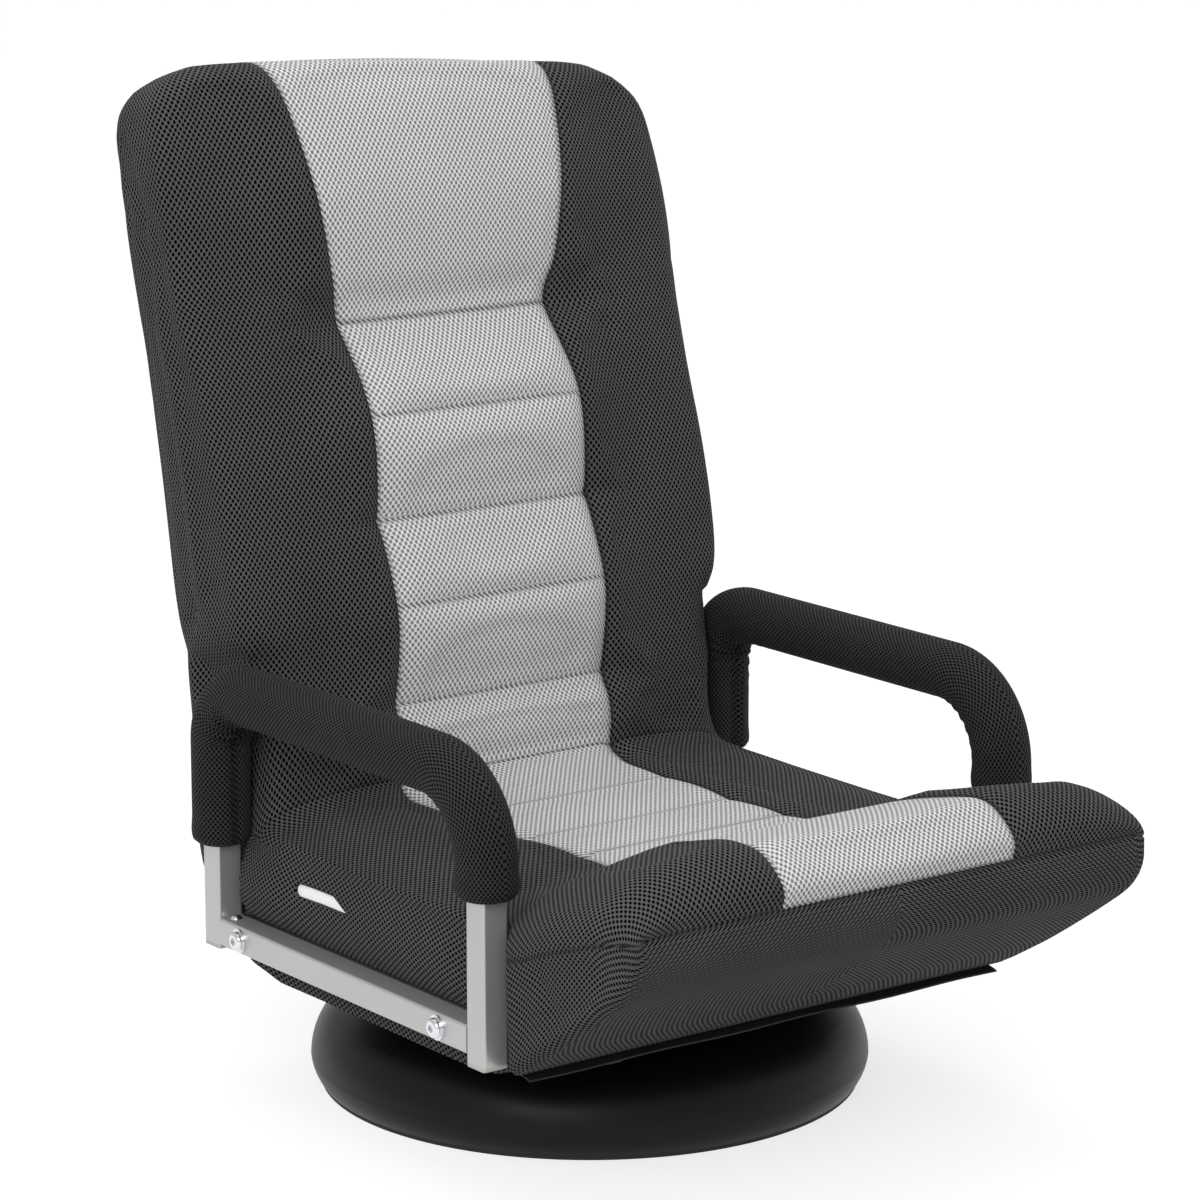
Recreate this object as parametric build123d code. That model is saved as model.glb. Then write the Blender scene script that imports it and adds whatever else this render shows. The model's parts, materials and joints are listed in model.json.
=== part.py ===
from build123d import *

import os
from math import cos, hypot, radians, sin

# Floor gaming chair on a swivel base. Millimetres, +Z up, the sitter looks along -Y.
# The origin is on the floor at the swivel axis. Left is the sitter's left, at +X.

os.makedirs("parts", exist_ok=True)

# Clearances
RUN_GAP = 0.05
HOLE_GAP = 0.1
SOFT_GAP = 0.3
SEAT_ARM_GAP = 1.5
BACK_ARM_GAP = 2.0

# Floor pad and base pan
BASE_R = 200.0
BASE_TOP_Z = 70.0
BASE_WALL = 2.0
BASE_BELLY_Z = 18.0
BASE_RIM_IN = 6.0
BASE_FLAT_R = 135.0
BASE_DOME_ANGLES = (25.0, 50.0, 70.0, 90.0)
FLOOR_PAD_T = 3.0
FLOOR_PAD_IN = 7.0

# Ball swivel
SWIVEL_PLATE_W = 160.0
SWIVEL_PLATE_T = 2.0
SWIVEL_CORNER_R = 10.0
BALL_COUNT = 12
BALL_R = 3.0
BALL_RING_R = 60.0
BALL_STAND = 4.0
RACE_W = 12.0
RACE_LIP = 1.4
CAGE_W = 14.0
CAGE_T = 1.2
BASE_SCREW_AT = 66.0
MOUNT_BOLT_X = 74.0
MOUNT_BOLT_Y = 24.0

# Small screws and nuts
M6_R = 3.0
M6_HEAD_R = 5.0
M6_HEAD_H = 3.6
M6_NUT_R = 5.7
M6_NUT_H = 5.0
M6_SPARE = 1.5
M8_R = 4.0
M8_HEAD_R = 7.0
M8_HEAD_H = 4.2
M8_HEAD_ROUND = 2.9
M8_NUT_R = 7.4
M8_NUT_H = 6.5
M8_SOCKET_R = 2.9
M8_SOCKET_DEPTH = 2.4
M8_WASHER_R = 8.5
M8_WASHER_T = 1.4

# Steel tubes of the seat, arms and back
TUBE = 20.0
TUBE_WALL = 1.5
TUBE_CORNER_R = 2.2
CROSS_TUBE_W = 30.0
CROSS_TUBE_H = 19.0
CROSS_TUBE_Y = 60.0
CROSS_TUBE_SHORT = 6.0
MOUNT_PLATE_W = 170.0
MOUNT_PLATE_T = 3.0

# Arms
ARM_FRONT_Y = -187.7
ARM_REAR_Y = 136.0
ARM_TOP_Z = 288.5
ARM_FRONT_BEND_R = 58.0
ARM_REAR_BEND_R = 38.0
ARM_FRONT_FOOT = 5.0
ARM_PAD_ACROSS = 42.0
ARM_PAD_CORNER_R = 18.0
ARM_PAD_FRONT_Z = 211.0
ARM_PAD_REAR_Z = 177.0
ARM_BOLT_FRONT_Y = -145.0
ARM_BOLT_REAR_Y = 99.0
END_CAP_T = 2.5
END_CAP_PLUG = 9.0
DOME_R = 4.5
DOME_H = 3.0
DOME_STEM_R = 2.0
DOME_STEM = 6.0
DOME_FROM_POST = 7.0

# Seat frame
SIDE_TUBE_REAR_Y = 120.0
FRONT_TUBE_Y = -165.0
LOOP_R = 5.0
LOOP_X = 150.0
LOOP_BEND_R = 32.0
LOOP_RISE = 30.0
LOOP_FRONT_Y = -296.0
LOOP_FRONT_Z = 178.0

# Seat cushion
SEAT_HALF_W = 210.5
SEAT_REAR_Y = 94.0
SEAT_FRONT_Y = -340.0
SEAT_FRONT_CORNER_R = 14.0
SEAT_BOTTOM_Z = 91.0
DUST_COVER_T = 1.5
DUST_COVER_IN = 12.0
RAKE_FOOT_Y = -205.0
RAKE_MID_Y = -290.0
RAKE_MID_Z = 141.0
RAKE_TOP_Z = 197.0
DECK_Z = 160.0
DECK_SLOPE_Y = 5.0
DECK_REAR_Z = 118.0
LIP_FOOT_Y = -150.0
LIP_DECK_Z = 206.0
LIP_SET_BACK = 8.0
SEAT_PAD_HALF_W = 90.0
SEAT_PAD_SEAMS_Y = (26.0, -49.0, -114.0)
SEAT_PAD_FRONT_Y = -165.0
SEAT_SEAM_Z = 194.0
SEAT_CHANNEL_RISE = 10.0
LIP_OVERHANG = 8.5
LIP_PAD_HALF_W = 98.0
LIP_CREST_Y = -302.0
LIP_CREST_Z = 254.0
LIP_SEAM_Z = 217.0
LIP_REAR_Z = 203.0
LIP_SWELL = 8.0
NOSE_IN = 0.25
NOSE_UP = 0.72
CROWN_DROP = 5.0
CROWN_SEAM_SHARE = 2.0
BOLSTER_TOP_Z = 198.0
BOLSTER_VALLEY_Z = 192.0
BOLSTER_CREST_Z = 246.0
BOLSTER_SEAM_Z = 213.0
BOLSTER_SWELL = 5.0
BOLSTER_CORNER_R = 12.0
BOLSTER_ROLL = ((0.0, 0.0), (0.43, 0.0), (0.7, 3.0), (0.85, 8.0), (0.945, 15.0), (1.0, 24.0))
BOLSTER_NOSE_DROP = 0.25
ZIP_W = 9.0
ZIP_T = 1.6
ZIP_LENGTH = 330.0
ZIP_FROM_EDGE = 6.0

# Recline hinge
HINGE_Y = 150.0
HINGE_Z = 172.0
BACK_LEAN = 13.0
NOTCH_PITCH = 90.0 / 7.0
CHEEK_T = 2.5
CHEEK_GAP = 0.6
CHEEK_R = 22.0
CHEEK_LEG_R = 9.5
CHEEK_FRONT_Y = 72.0
CHEEK_FRONT_R = 9.5
RATCHET_T = 4.6
RATCHET_TIP_R = 30.0
RATCHET_ROOT_R = 26.0
NOTCH_ROOT_W = 2.2
NOTCH_TIP_W = 5.0
NOTCHES_UP = 1
NOTCHES_DOWN = 6
TOOTH_MARGIN = 8.0
HINGE_PIN_R = 5.0
HINGE_PIN_HEAD_R = 8.0
HINGE_PIN_HEAD_T = 2.2
PAWL_ANGLE = 205.0
PAWL_SEAT_R = 26.6
PAWL_ARM_R = 36.0
PAWL_LENGTH = 26.0
PAWL_BOSS_R = 7.0
PAWL_HALF_W = 3.4
PAWL_NOSE_ROOT_W = 1.2
PAWL_NOSE_TIP_W = 3.0
PAWL_LIFT = 10.0
PAWL_PIN_R = 3.0
PAWL_CHEEK_R = 9.0
SPRING_T = 0.8
SPRING_POST_R = 4.0
SPRING_POST_Y = 100.0
SPRING_POST_Z = 134.0
SPRING_BOW = 3.0
SPACER_R = 7.0
ARM_SCREW_UP = (80.0, 126.0)

# Back frame
UPRIGHT_FOOT = 60.0
UPRIGHT_TOP = 470.0
UPRIGHT_IN = 0.2
BACK_DECK = 12.0
LUMBAR_TUBE_UP = 240.0

# Back cushion
BACK_HALF_W = 216.0
BACK_NARROW_UP = 130.0
BACK_WIDE_UP = 150.0
BACK_TOP = 537.0
BACK_CORNER_R = 55.0
HEEL_R = 52.0
HEEL_STEP = 24.0
BACK_REAR_LOW = 50.0
BACK_REAR_LOW_UP = 60.0
BACK_REAR_TOP = 25.0
BACK_TOP_ROUND = 14.0
BACK_PAD_HALF_W = 90.0
BACK_PAD_FOOT = 32.0
BACK_PAD_FOOT_OUT = 54.0
BACK_SEAMS = ((78.0, 63.0), (148.0, 82.0), (210.0, 73.0), (284.0, 82.0), (353.0, 53.0))
BACK_CHANNEL_RISE = 12.0
HEAD_HALF_W = 127.0
HEAD_SWELL = 18.0
HEAD_TOP_OUT = 54.0
BACK_BOLSTER_OUT = 66.0
BACK_BOLSTER_FOOT_R = 12.0
BACK_WAIST = ((150.0, 76.0), (284.0, 74.0), (353.0, 55.0))
BACK_BOLSTER_SWELL = 6.0
BACK_EDGE_X = 150.0
BACK_FRONT_MAX = 96.0
BACK_EDGE_FRONT = 30.0
BACK_EDGE_REAR = 10.0
BACK_EDGE_VIA = 0.72
BACK_EDGE_FALL = 0.3
HINGE_POCKET_ROOM = 4.2
HINGE_POCKET_R = 57.0

# Heights stacked from the floor
RACE_Z = BASE_TOP_Z + SWIVEL_PLATE_T + BALL_STAND
UPPER_PLATE_Z = RACE_Z + BALL_STAND
MOUNT_PLATE_Z = UPPER_PLATE_Z + SWIVEL_PLATE_T
CROSS_TUBE_Z = MOUNT_PLATE_Z + MOUNT_PLATE_T
TUBE_LOW_Z = CROSS_TUBE_Z + CROSS_TUBE_H
TUBE_MID_Z = TUBE_LOW_Z + TUBE / 2
TUBE_TOP_Z = TUBE_LOW_Z + TUBE
FOAM_Z = SEAT_BOTTOM_Z + DUST_COVER_T

# Layers from the seat outwards to the arm, and from the arm inwards, all as distances from the middle plane
LIP_HALF_W = SEAT_HALF_W + LIP_OVERHANG
ARM_IN_X = SEAT_HALF_W + SEAT_ARM_GAP
ARM_X = ARM_IN_X + TUBE / 2
BACK_LOW_HALF_W = ARM_X - ARM_PAD_ACROSS / 2 - BACK_ARM_GAP
ARM_OUT_X = ARM_IN_X + TUBE
SIDE_TUBE_IN_X = ARM_IN_X - TUBE
OUTER_CHEEK_X = SIDE_TUBE_IN_X - CHEEK_T
RATCHET_X = OUTER_CHEEK_X - CHEEK_GAP - RATCHET_T
INNER_CHEEK_X = RATCHET_X - CHEEK_GAP - CHEEK_T
UPRIGHT_X = RATCHET_X - UPRIGHT_IN - TUBE / 2
UPRIGHT_OUT = BACK_DECK - TUBE / 2
HINGE_POCKET_X = INNER_CHEEK_X - HINGE_POCKET_ROOM

pieces = {}


def outline(steps, at):
    """Closed face through steps: (a, b) is reached by a line, (a, b, via_a, via_b) by an arc."""
    edges = []
    here = steps[0][:2]
    for step in steps[1:] + steps[:1]:
        there = step[:2]
        if len(step) == 4:
            edges.append(ThreePointArc(at(*here), at(*step[2:]), at(*there)))
        else:
            edges.append(Line(at(*here), at(*there)))
        here = there
    return Face(Wire(edges))


def side_view(x):
    """Places a (y, z) pair in the plane at x."""
    return lambda y, z: (x, y, z)


def slab(steps, x_from, x_to):
    """A side-view outline pushed along X."""
    return extrude(outline(steps, side_view(x_from)), x_to - x_from, dir=(1, 0, 0))


def box(x, y, z):
    """A block between pairs of limits."""
    size = (x[1] - x[0], y[1] - y[0], z[1] - z[0])
    middle = ((x[0] + x[1]) / 2, (y[0] + y[1]) / 2, (z[0] + z[1]) / 2)
    return Pos(*middle) * Box(*size)


def rod_x(radius, x_from, x_to, y, z):
    """A round bar along X."""
    return Pos((x_from + x_to) / 2, y, z) * Rot(0, 90, 0) * Cylinder(radius, abs(x_to - x_from))


def hexagon_x(corner_r, x_from, x_to, y, z):
    """A hexagon bar along X."""
    return Pos(x_from, y, z) * Rot(0, 90, 0) * extrude(RegularPolygon(corner_r, 6), x_to - x_from)


def nut_x(corner_r, bore_r, x_from, x_to, y, z):
    """A hexagon nut along X."""
    return hexagon_x(corner_r, x_from, x_to, y, z) - rod_x(bore_r, x_from, x_to, y, z)


def corner_in(radius):
    """How far the middle of a quarter round stands in from each side of its corner."""
    return radius * (1 - sin(radians(45)))


def both_sides(solid):
    """The solid at +X and its mirror image at -X."""
    return [solid, mirror(solid, Plane.YZ)]


def keep(name, solid):
    """Stores one piece, or a group of like solids, under its node name."""
    pieces[name] = solid


def keep_pair(name, left):
    """Stores a left piece and its mirror image."""
    keep(name + "_left", left)
    keep(name + "_right", mirror(left, Plane.YZ))


def keep_group(name, solids):
    """Stores several like solids in one node."""
    keep(name, Compound([part for solid in solids for part in solid.solids()]))


def tube_section(width, height):
    """Hollow rectangle with rounded corners."""
    outer = RectangleRounded(width, height, TUBE_CORNER_R)
    return outer - Rectangle(width - 2 * TUBE_WALL, height - 2 * TUBE_WALL)


def tube_x(half_length, width, height, y, z):
    """Straight tube along X, centred on the middle plane."""
    section = Plane.YZ * tube_section(width, height)
    return Pos(-half_length, y, z) * extrude(section, 2 * half_length)


def tube_y(y_from, y_to, x, z):
    """Straight square tube along Y."""
    section = Plane.XZ * tube_section(TUBE, TUBE)
    return Pos(x, y_to, z) * extrude(section, y_to - y_from)


# Base pan and its floor pad
def pan_steps(wall):
    """Section of the pan, set in by a wall: a flat top, an elliptic dome in two arcs and a turned-in rim."""
    wide = BASE_R - BASE_FLAT_R - wall
    tall = BASE_TOP_Z - BASE_BELLY_Z - wall
    turns = [radians(angle) for angle in BASE_DOME_ANGLES]
    dome = [(BASE_FLAT_R + wide * sin(turn), BASE_BELLY_Z + tall * cos(turn)) for turn in turns]
    rim = (BASE_R - BASE_RIM_IN - wall, FLOOR_PAD_T)
    rim_via = (BASE_R - wall - corner_in(BASE_RIM_IN), (BASE_BELLY_Z + FLOOR_PAD_T) / 2)
    return [
        (0, BASE_TOP_Z - wall),
        (BASE_FLAT_R, BASE_TOP_Z - wall),
        dome[1] + dome[0],
        dome[3] + dome[2],
        rim + rim_via,
        (0, FLOOR_PAD_T),
    ]


def turned(steps):
    """A section of (radius, height) pairs turned about the swivel axis."""
    return revolve(outline(steps, lambda r, z: (r, 0, z)), Axis.Z)


corners = [(x, y) for x in (-1, 1) for y in (-1, 1)]
base_screw_spots = [(x * BASE_SCREW_AT, y * BASE_SCREW_AT) for x, y in corners]
mount_bolt_spots = [(x * MOUNT_BOLT_X, y * MOUNT_BOLT_Y) for x, y in corners]


def upright_screw(spot, head_z, length):
    """Screw with its head on head_z and its shank pointing down."""
    head = Pos(*spot, head_z + M6_HEAD_H / 2) * Cylinder(M6_HEAD_R, M6_HEAD_H)
    shank = Pos(*spot, head_z - length / 2) * Cylinder(M6_R, length)
    return head + shank


def upright_nut(spot, top_z):
    """Hexagon nut whose upper face is at top_z."""
    section = RegularPolygon(M6_NUT_R, 6) - Circle(M6_R + RUN_GAP)
    return Pos(*spot, top_z - M6_NUT_H) * extrude(section, M6_NUT_H)


def holes(spots, z):
    """Clearance holes for upright screws near height z."""
    depth = 4 * (SWIVEL_PLATE_T + MOUNT_PLATE_T)
    return [Pos(*spot, z) * Cylinder(M6_R + HOLE_GAP, depth) for spot in spots]


keep("floor_pad", Pos(0, 0, FLOOR_PAD_T / 2) * Cylinder(BASE_R - FLOOR_PAD_IN, FLOOR_PAD_T))
pan = turned(pan_steps(0)) - turned(pan_steps(BASE_WALL))
keep("base_pan", pan - holes(base_screw_spots, BASE_TOP_Z))


# Ball swivel
def race(z_from, z_to):
    """Raised ring with half of the ball groove."""
    middle = (z_from + z_to) / 2
    height = z_to - z_from
    ring = Cylinder(BALL_RING_R + RACE_W / 2, height) - Cylinder(BALL_RING_R - RACE_W / 2, height)
    return Pos(0, 0, middle) * ring - Pos(0, 0, RACE_Z) * Torus(BALL_RING_R, BALL_R + RUN_GAP)


swivel_sheet = extrude(RectangleRounded(SWIVEL_PLATE_W, SWIVEL_PLATE_W, SWIVEL_CORNER_R), SWIVEL_PLATE_T)
lower_race = race(BASE_TOP_Z + SWIVEL_PLATE_T, RACE_Z - RACE_LIP)
lower_plate = Pos(0, 0, BASE_TOP_Z) * swivel_sheet + lower_race
keep("swivel_lower_plate", lower_plate - holes(base_screw_spots, BASE_TOP_Z))
upper_plate = Pos(0, 0, UPPER_PLATE_Z) * swivel_sheet + race(RACE_Z + RACE_LIP, UPPER_PLATE_Z)
keep("swivel_upper_plate", upper_plate - holes(mount_bolt_spots, UPPER_PLATE_Z))

ball_spots = [Rot(0, 0, 360 / BALL_COUNT * i) * Pos(BALL_RING_R, 0, RACE_Z) for i in range(BALL_COUNT)]
keep_group("swivel_balls", [spot * Sphere(BALL_R) for spot in ball_spots])
cage = Cylinder(BALL_RING_R + CAGE_W / 2, CAGE_T) - Cylinder(BALL_RING_R - CAGE_W / 2, CAGE_T)
ball_holes = [spot * Cylinder(BALL_R + RUN_GAP, 2 * CAGE_T) for spot in ball_spots]
keep("swivel_cage", Pos(0, 0, RACE_Z) * cage - ball_holes)

base_screw_length = SWIVEL_PLATE_T + BASE_WALL + M6_NUT_H + M6_SPARE
plate_top = BASE_TOP_Z + SWIVEL_PLATE_T
base_screws = [upright_screw(spot, plate_top, base_screw_length) for spot in base_screw_spots]
keep_group("swivel_base_screws", base_screws)
keep_group("swivel_base_nuts", [upright_nut(spot, BASE_TOP_Z - BASE_WALL) for spot in base_screw_spots])
mount_bolt_length = MOUNT_PLATE_T + SWIVEL_PLATE_T + M6_NUT_H
mount_bolts = [upright_screw(spot, CROSS_TUBE_Z, mount_bolt_length) for spot in mount_bolt_spots]
keep_group("seat_mount_bolts", mount_bolts)
keep_group("seat_mount_nuts", [upright_nut(spot, UPPER_PLATE_Z) for spot in mount_bolt_spots])

# Seat frame
mount_sheet = extrude(RectangleRounded(MOUNT_PLATE_W, MOUNT_PLATE_W, SWIVEL_CORNER_R), MOUNT_PLATE_T)
keep("seat_mount_plate", Pos(0, 0, MOUNT_PLATE_Z) * mount_sheet - holes(mount_bolt_spots, MOUNT_PLATE_Z))
cross_mid_z = CROSS_TUBE_Z + CROSS_TUBE_H / 2
cross_half = ARM_IN_X - CROSS_TUBE_SHORT
keep("seat_cross_tube_front", tube_x(cross_half, CROSS_TUBE_W, CROSS_TUBE_H, -CROSS_TUBE_Y, cross_mid_z))
keep("seat_cross_tube_rear", tube_x(cross_half, CROSS_TUBE_W, CROSS_TUBE_H, CROSS_TUBE_Y, cross_mid_z))

bolt_ys = (ARM_BOLT_FRONT_Y, ARM_BOLT_REAR_Y)
bolt_holes = [rod_x(M8_R + HOLE_GAP, INNER_CHEEK_X, ARM_OUT_X, y, TUBE_MID_Z) for y in bolt_ys]
hinge_bolt_hole = rod_x(M6_R + HOLE_GAP, INNER_CHEEK_X, ARM_IN_X, CHEEK_FRONT_Y, TUBE_MID_Z)
side_tube = tube_y(FRONT_TUBE_Y - TUBE / 2, SIDE_TUBE_REAR_Y, ARM_IN_X - TUBE / 2, TUBE_MID_Z)
keep_pair("seat_side_tube", side_tube - bolt_holes - hinge_bolt_hole)
keep("seat_front_tube", tube_x(SIDE_TUBE_IN_X, TUBE, TUBE, FRONT_TUBE_Y, TUBE_MID_Z))


def loop_bar(radius):
    """Bar that stands on the front tube and bends forwards through the lip."""
    leg_top = TUBE_TOP_Z + LOOP_RISE
    path = FilletPolyline(
        (-LOOP_X, FRONT_TUBE_Y, TUBE_TOP_Z),
        (-LOOP_X, FRONT_TUBE_Y, leg_top),
        (-LOOP_X, LOOP_FRONT_Y, LOOP_FRONT_Z),
        (LOOP_X, LOOP_FRONT_Y, LOOP_FRONT_Z),
        (LOOP_X, FRONT_TUBE_Y, leg_top),
        (LOOP_X, FRONT_TUBE_Y, TUBE_TOP_Z),
        radius=LOOP_BEND_R,
    )
    return sweep(Pos(-LOOP_X, FRONT_TUBE_Y, TUBE_TOP_Z) * Circle(radius), path)


keep("seat_front_loop", loop_bar(LOOP_R))


# Arms
def arm_path(rear_z, front_z):
    """Centre line of an arm: up the rear post, along the top, down the front post."""
    return FilletPolyline(
        (ARM_X, ARM_REAR_Y, rear_z),
        (ARM_X, ARM_REAR_Y, ARM_TOP_Z),
        (ARM_X, ARM_FRONT_Y, ARM_TOP_Z),
        (ARM_X, ARM_FRONT_Y, front_z),
        radius=(ARM_REAR_BEND_R, ARM_FRONT_BEND_R),
    )


def along_arm(section, rear_z, front_z):
    """A section swept round the arm."""
    return sweep(Pos(ARM_X, ARM_REAR_Y, rear_z) * section, arm_path(rear_z, front_z))


post_foot_z = TUBE_LOW_Z - ARM_FRONT_FOOT
hoop_solid = along_arm(RectangleRounded(TUBE, TUBE, TUBE_CORNER_R), TUBE_LOW_Z, post_foot_z)
bore = TUBE - 2 * TUBE_WALL
hoop_bore = along_arm(Rectangle(bore, bore), TUBE_LOW_Z, post_foot_z)
keep_pair("arm_hoop", hoop_solid - hoop_bore)
rail = tube_y(ARM_FRONT_Y + TUBE / 2, ARM_REAR_Y - TUBE / 2, ARM_X, TUBE_MID_Z)
dome_y = ARM_REAR_Y - TUBE / 2 - DOME_FROM_POST
dome_hole = Pos(ARM_X, dome_y, TUBE_TOP_Z) * Cylinder(DOME_STEM_R + HOLE_GAP, 2 * DOME_STEM)
keep_pair("arm_rail", rail - bolt_holes - dome_hole)

pad_section = RectangleRounded(ARM_PAD_ACROSS, ARM_PAD_ACROSS, ARM_PAD_CORNER_R)
pad_solid = along_arm(pad_section, ARM_PAD_REAR_Z, ARM_PAD_FRONT_Z)
pad_bore_w = TUBE + 2 * HOLE_GAP
pad_bore = along_arm(Rectangle(pad_bore_w, pad_bore_w), ARM_PAD_REAR_Z, ARM_PAD_FRONT_Z)
keep_pair("arm_pad", pad_solid - pad_bore)


def end_cap(y, foot_z):
    """Plug with a flat flange for the open lower end of a post."""
    flange = extrude(RectangleRounded(TUBE, TUBE, TUBE_CORNER_R), -END_CAP_T)
    plug_w = bore - 2 * HOLE_GAP
    return Pos(ARM_X, y, foot_z) * (flange + extrude(Rectangle(plug_w, plug_w), END_CAP_PLUG))


left_caps = [end_cap(ARM_REAR_Y, TUBE_LOW_Z), end_cap(ARM_FRONT_Y, post_foot_z)]
keep_group("arm_end_caps", [part for cap in left_caps for part in both_sides(cap)])

head_x = ARM_OUT_X + M8_WASHER_T
nut_seats = {ARM_BOLT_FRONT_Y: SIDE_TUBE_IN_X, ARM_BOLT_REAR_Y: INNER_CHEEK_X}


def arm_bolt(y):
    """Button-head bolt through the rail and the side tube, with a hexagon socket."""
    head = rod_x(M8_HEAD_R, head_x, head_x + M8_HEAD_H, y, TUBE_MID_Z)
    rim = head.edges().filter_by(GeomType.CIRCLE).sort_by(Axis.X)[-1]
    head = fillet(rim, M8_HEAD_ROUND)
    socket_x = head_x + M8_HEAD_H - M8_SOCKET_DEPTH
    socket = hexagon_x(M8_SOCKET_R, socket_x, head_x + M8_HEAD_H, y, TUBE_MID_Z)
    return head - socket + rod_x(M8_R, nut_seats[y] - M8_NUT_H, head_x, y, TUBE_MID_Z)


def arm_washer(y):
    """Flat washer under the bolt head."""
    disc = rod_x(M8_WASHER_R, ARM_OUT_X, head_x, y, TUBE_MID_Z)
    return disc - rod_x(M8_R + HOLE_GAP, ARM_OUT_X, head_x, y, TUBE_MID_Z)


def arm_nut(y):
    """Nut on the inner side of the seat frame."""
    return nut_x(M8_NUT_R, M8_R + RUN_GAP, nut_seats[y] - M8_NUT_H, nut_seats[y], y, TUBE_MID_Z)


keep_group("arm_bolts", [part for y in bolt_ys for part in both_sides(arm_bolt(y))])
keep_group("arm_washers", [part for y in bolt_ys for part in both_sides(arm_washer(y))])
keep_group("arm_nuts", [part for y in bolt_ys for part in both_sides(arm_nut(y))])

dome_cap_r = (DOME_R**2 + DOME_H**2) / (2 * DOME_H)
dome = Pos(0, 0, DOME_H - dome_cap_r) * Sphere(dome_cap_r) & Pos(0, 0, DOME_H) * Cylinder(DOME_R, 2 * DOME_H)
dome_stem = Pos(0, 0, -DOME_STEM / 2) * Cylinder(DOME_STEM_R, DOME_STEM)
keep_group("rail_dome_screws", both_sides(Pos(ARM_X, dome_y, TUBE_TOP_Z) * (dome + dome_stem)))


# Recline hinge
def at_hinge(sketch, x):
    """Puts a (y, z) sketch drawn about the hinge axis in the plane at x."""
    return Pos(x, HINGE_Y, HINGE_Z) * (Plane.YZ * sketch)


def polar(radius, angle):
    """Point at a radius and an angle from +Y towards +Z."""
    return (radius * cos(radians(angle)), radius * sin(radians(angle)))


nose_dir = polar(1, PAWL_ANGLE)
down_dir = polar(1, PAWL_ANGLE + 90)
pawl_pivot = tuple(PAWL_ARM_R * n + PAWL_LENGTH * d for n, d in zip(nose_dir, down_dir))
leg_spots = [(y - HINGE_Y, TUBE_MID_Z - HINGE_Z) for y in (ARM_BOLT_REAR_Y, CHEEK_FRONT_Y)]
spring_post = (SPRING_POST_Y - HINGE_Y, SPRING_POST_Z - HINGE_Z)


def tooth(root_r, root_w, tip_r, tip_w):
    """Tapered tooth along +Y between two radii."""
    right = [(root_r, -root_w / 2), (tip_r, -tip_w / 2)]
    left = [(tip_r, tip_w / 2), (root_r, root_w / 2)]
    return Polygon(*right, *left, align=None)


def cheek():
    """Side plate of the hinge, from the hinge pin down to the side tube."""
    rounds = [
        Circle(CHEEK_R),
        Pos(*pawl_pivot) * Circle(PAWL_CHEEK_R),
        Pos(*leg_spots[0]) * Circle(CHEEK_LEG_R),
        Pos(*leg_spots[1]) * Circle(CHEEK_FRONT_R),
    ]
    plate = make_hull([edge for disc in rounds for edge in disc.edges()])
    plate -= Circle(HINGE_PIN_R + RUN_GAP)
    plate -= Pos(*pawl_pivot) * Circle(PAWL_PIN_R + RUN_GAP)
    plate -= Pos(*leg_spots[0]) * Circle(M8_R + HOLE_GAP)
    plate -= Pos(*leg_spots[1]) * Circle(M6_R + HOLE_GAP)
    return plate - Pos(*spring_post) * Circle(SPRING_POST_R / 2 + RUN_GAP)


keep_pair("hinge_outer_cheek", extrude(at_hinge(cheek(), OUTER_CHEEK_X), CHEEK_T, dir=(1, 0, 0)))
keep_pair("hinge_inner_cheek", extrude(at_hinge(cheek(), INNER_CHEEK_X), CHEEK_T, dir=(1, 0, 0)))


def headed_pin(radius, head_r, head_t, y, z):
    """Pin through both cheeks with a head at each end."""
    pin = rod_x(radius, INNER_CHEEK_X, SIDE_TUBE_IN_X, y, z)
    pin += rod_x(head_r, INNER_CHEEK_X - head_t, INNER_CHEEK_X, y, z)
    return pin + rod_x(head_r, SIDE_TUBE_IN_X, SIDE_TUBE_IN_X + head_t, y, z)


hinge_pin = headed_pin(HINGE_PIN_R, HINGE_PIN_HEAD_R, HINGE_PIN_HEAD_T, HINGE_Y, HINGE_Z)
keep_group("hinge_pins", both_sides(hinge_pin))
pivot_yz = (HINGE_Y + pawl_pivot[0], HINGE_Z + pawl_pivot[1])
pawl_pin = headed_pin(PAWL_PIN_R, PAWL_PIN_R + CHEEK_T / 2, CHEEK_T / 2, *pivot_yz)
keep_group("pawl_pins", both_sides(pawl_pin))

spacer_from = INNER_CHEEK_X + CHEEK_T
spacer_to = OUTER_CHEEK_X
spacer_bores = {ARM_BOLT_REAR_Y: M8_R, CHEEK_FRONT_Y: M6_R}


def spacer(y):
    """Sleeve that holds the cheeks apart on a bolt."""
    sleeve = rod_x(SPACER_R, spacer_from, spacer_to, y, TUBE_MID_Z)
    return sleeve - rod_x(spacer_bores[y] + HOLE_GAP, spacer_from, spacer_to, y, TUBE_MID_Z)


keep_group("hinge_spacers", [part for y in spacer_bores for part in both_sides(spacer(y))])
hinge_bolt = rod_x(M6_HEAD_R, INNER_CHEEK_X - M6_HEAD_H, INNER_CHEEK_X, CHEEK_FRONT_Y, TUBE_MID_Z)
hinge_bolt += rod_x(M6_R, INNER_CHEEK_X, ARM_IN_X, CHEEK_FRONT_Y, TUBE_MID_Z)
keep_group("hinge_bolts", both_sides(hinge_bolt))


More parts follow.
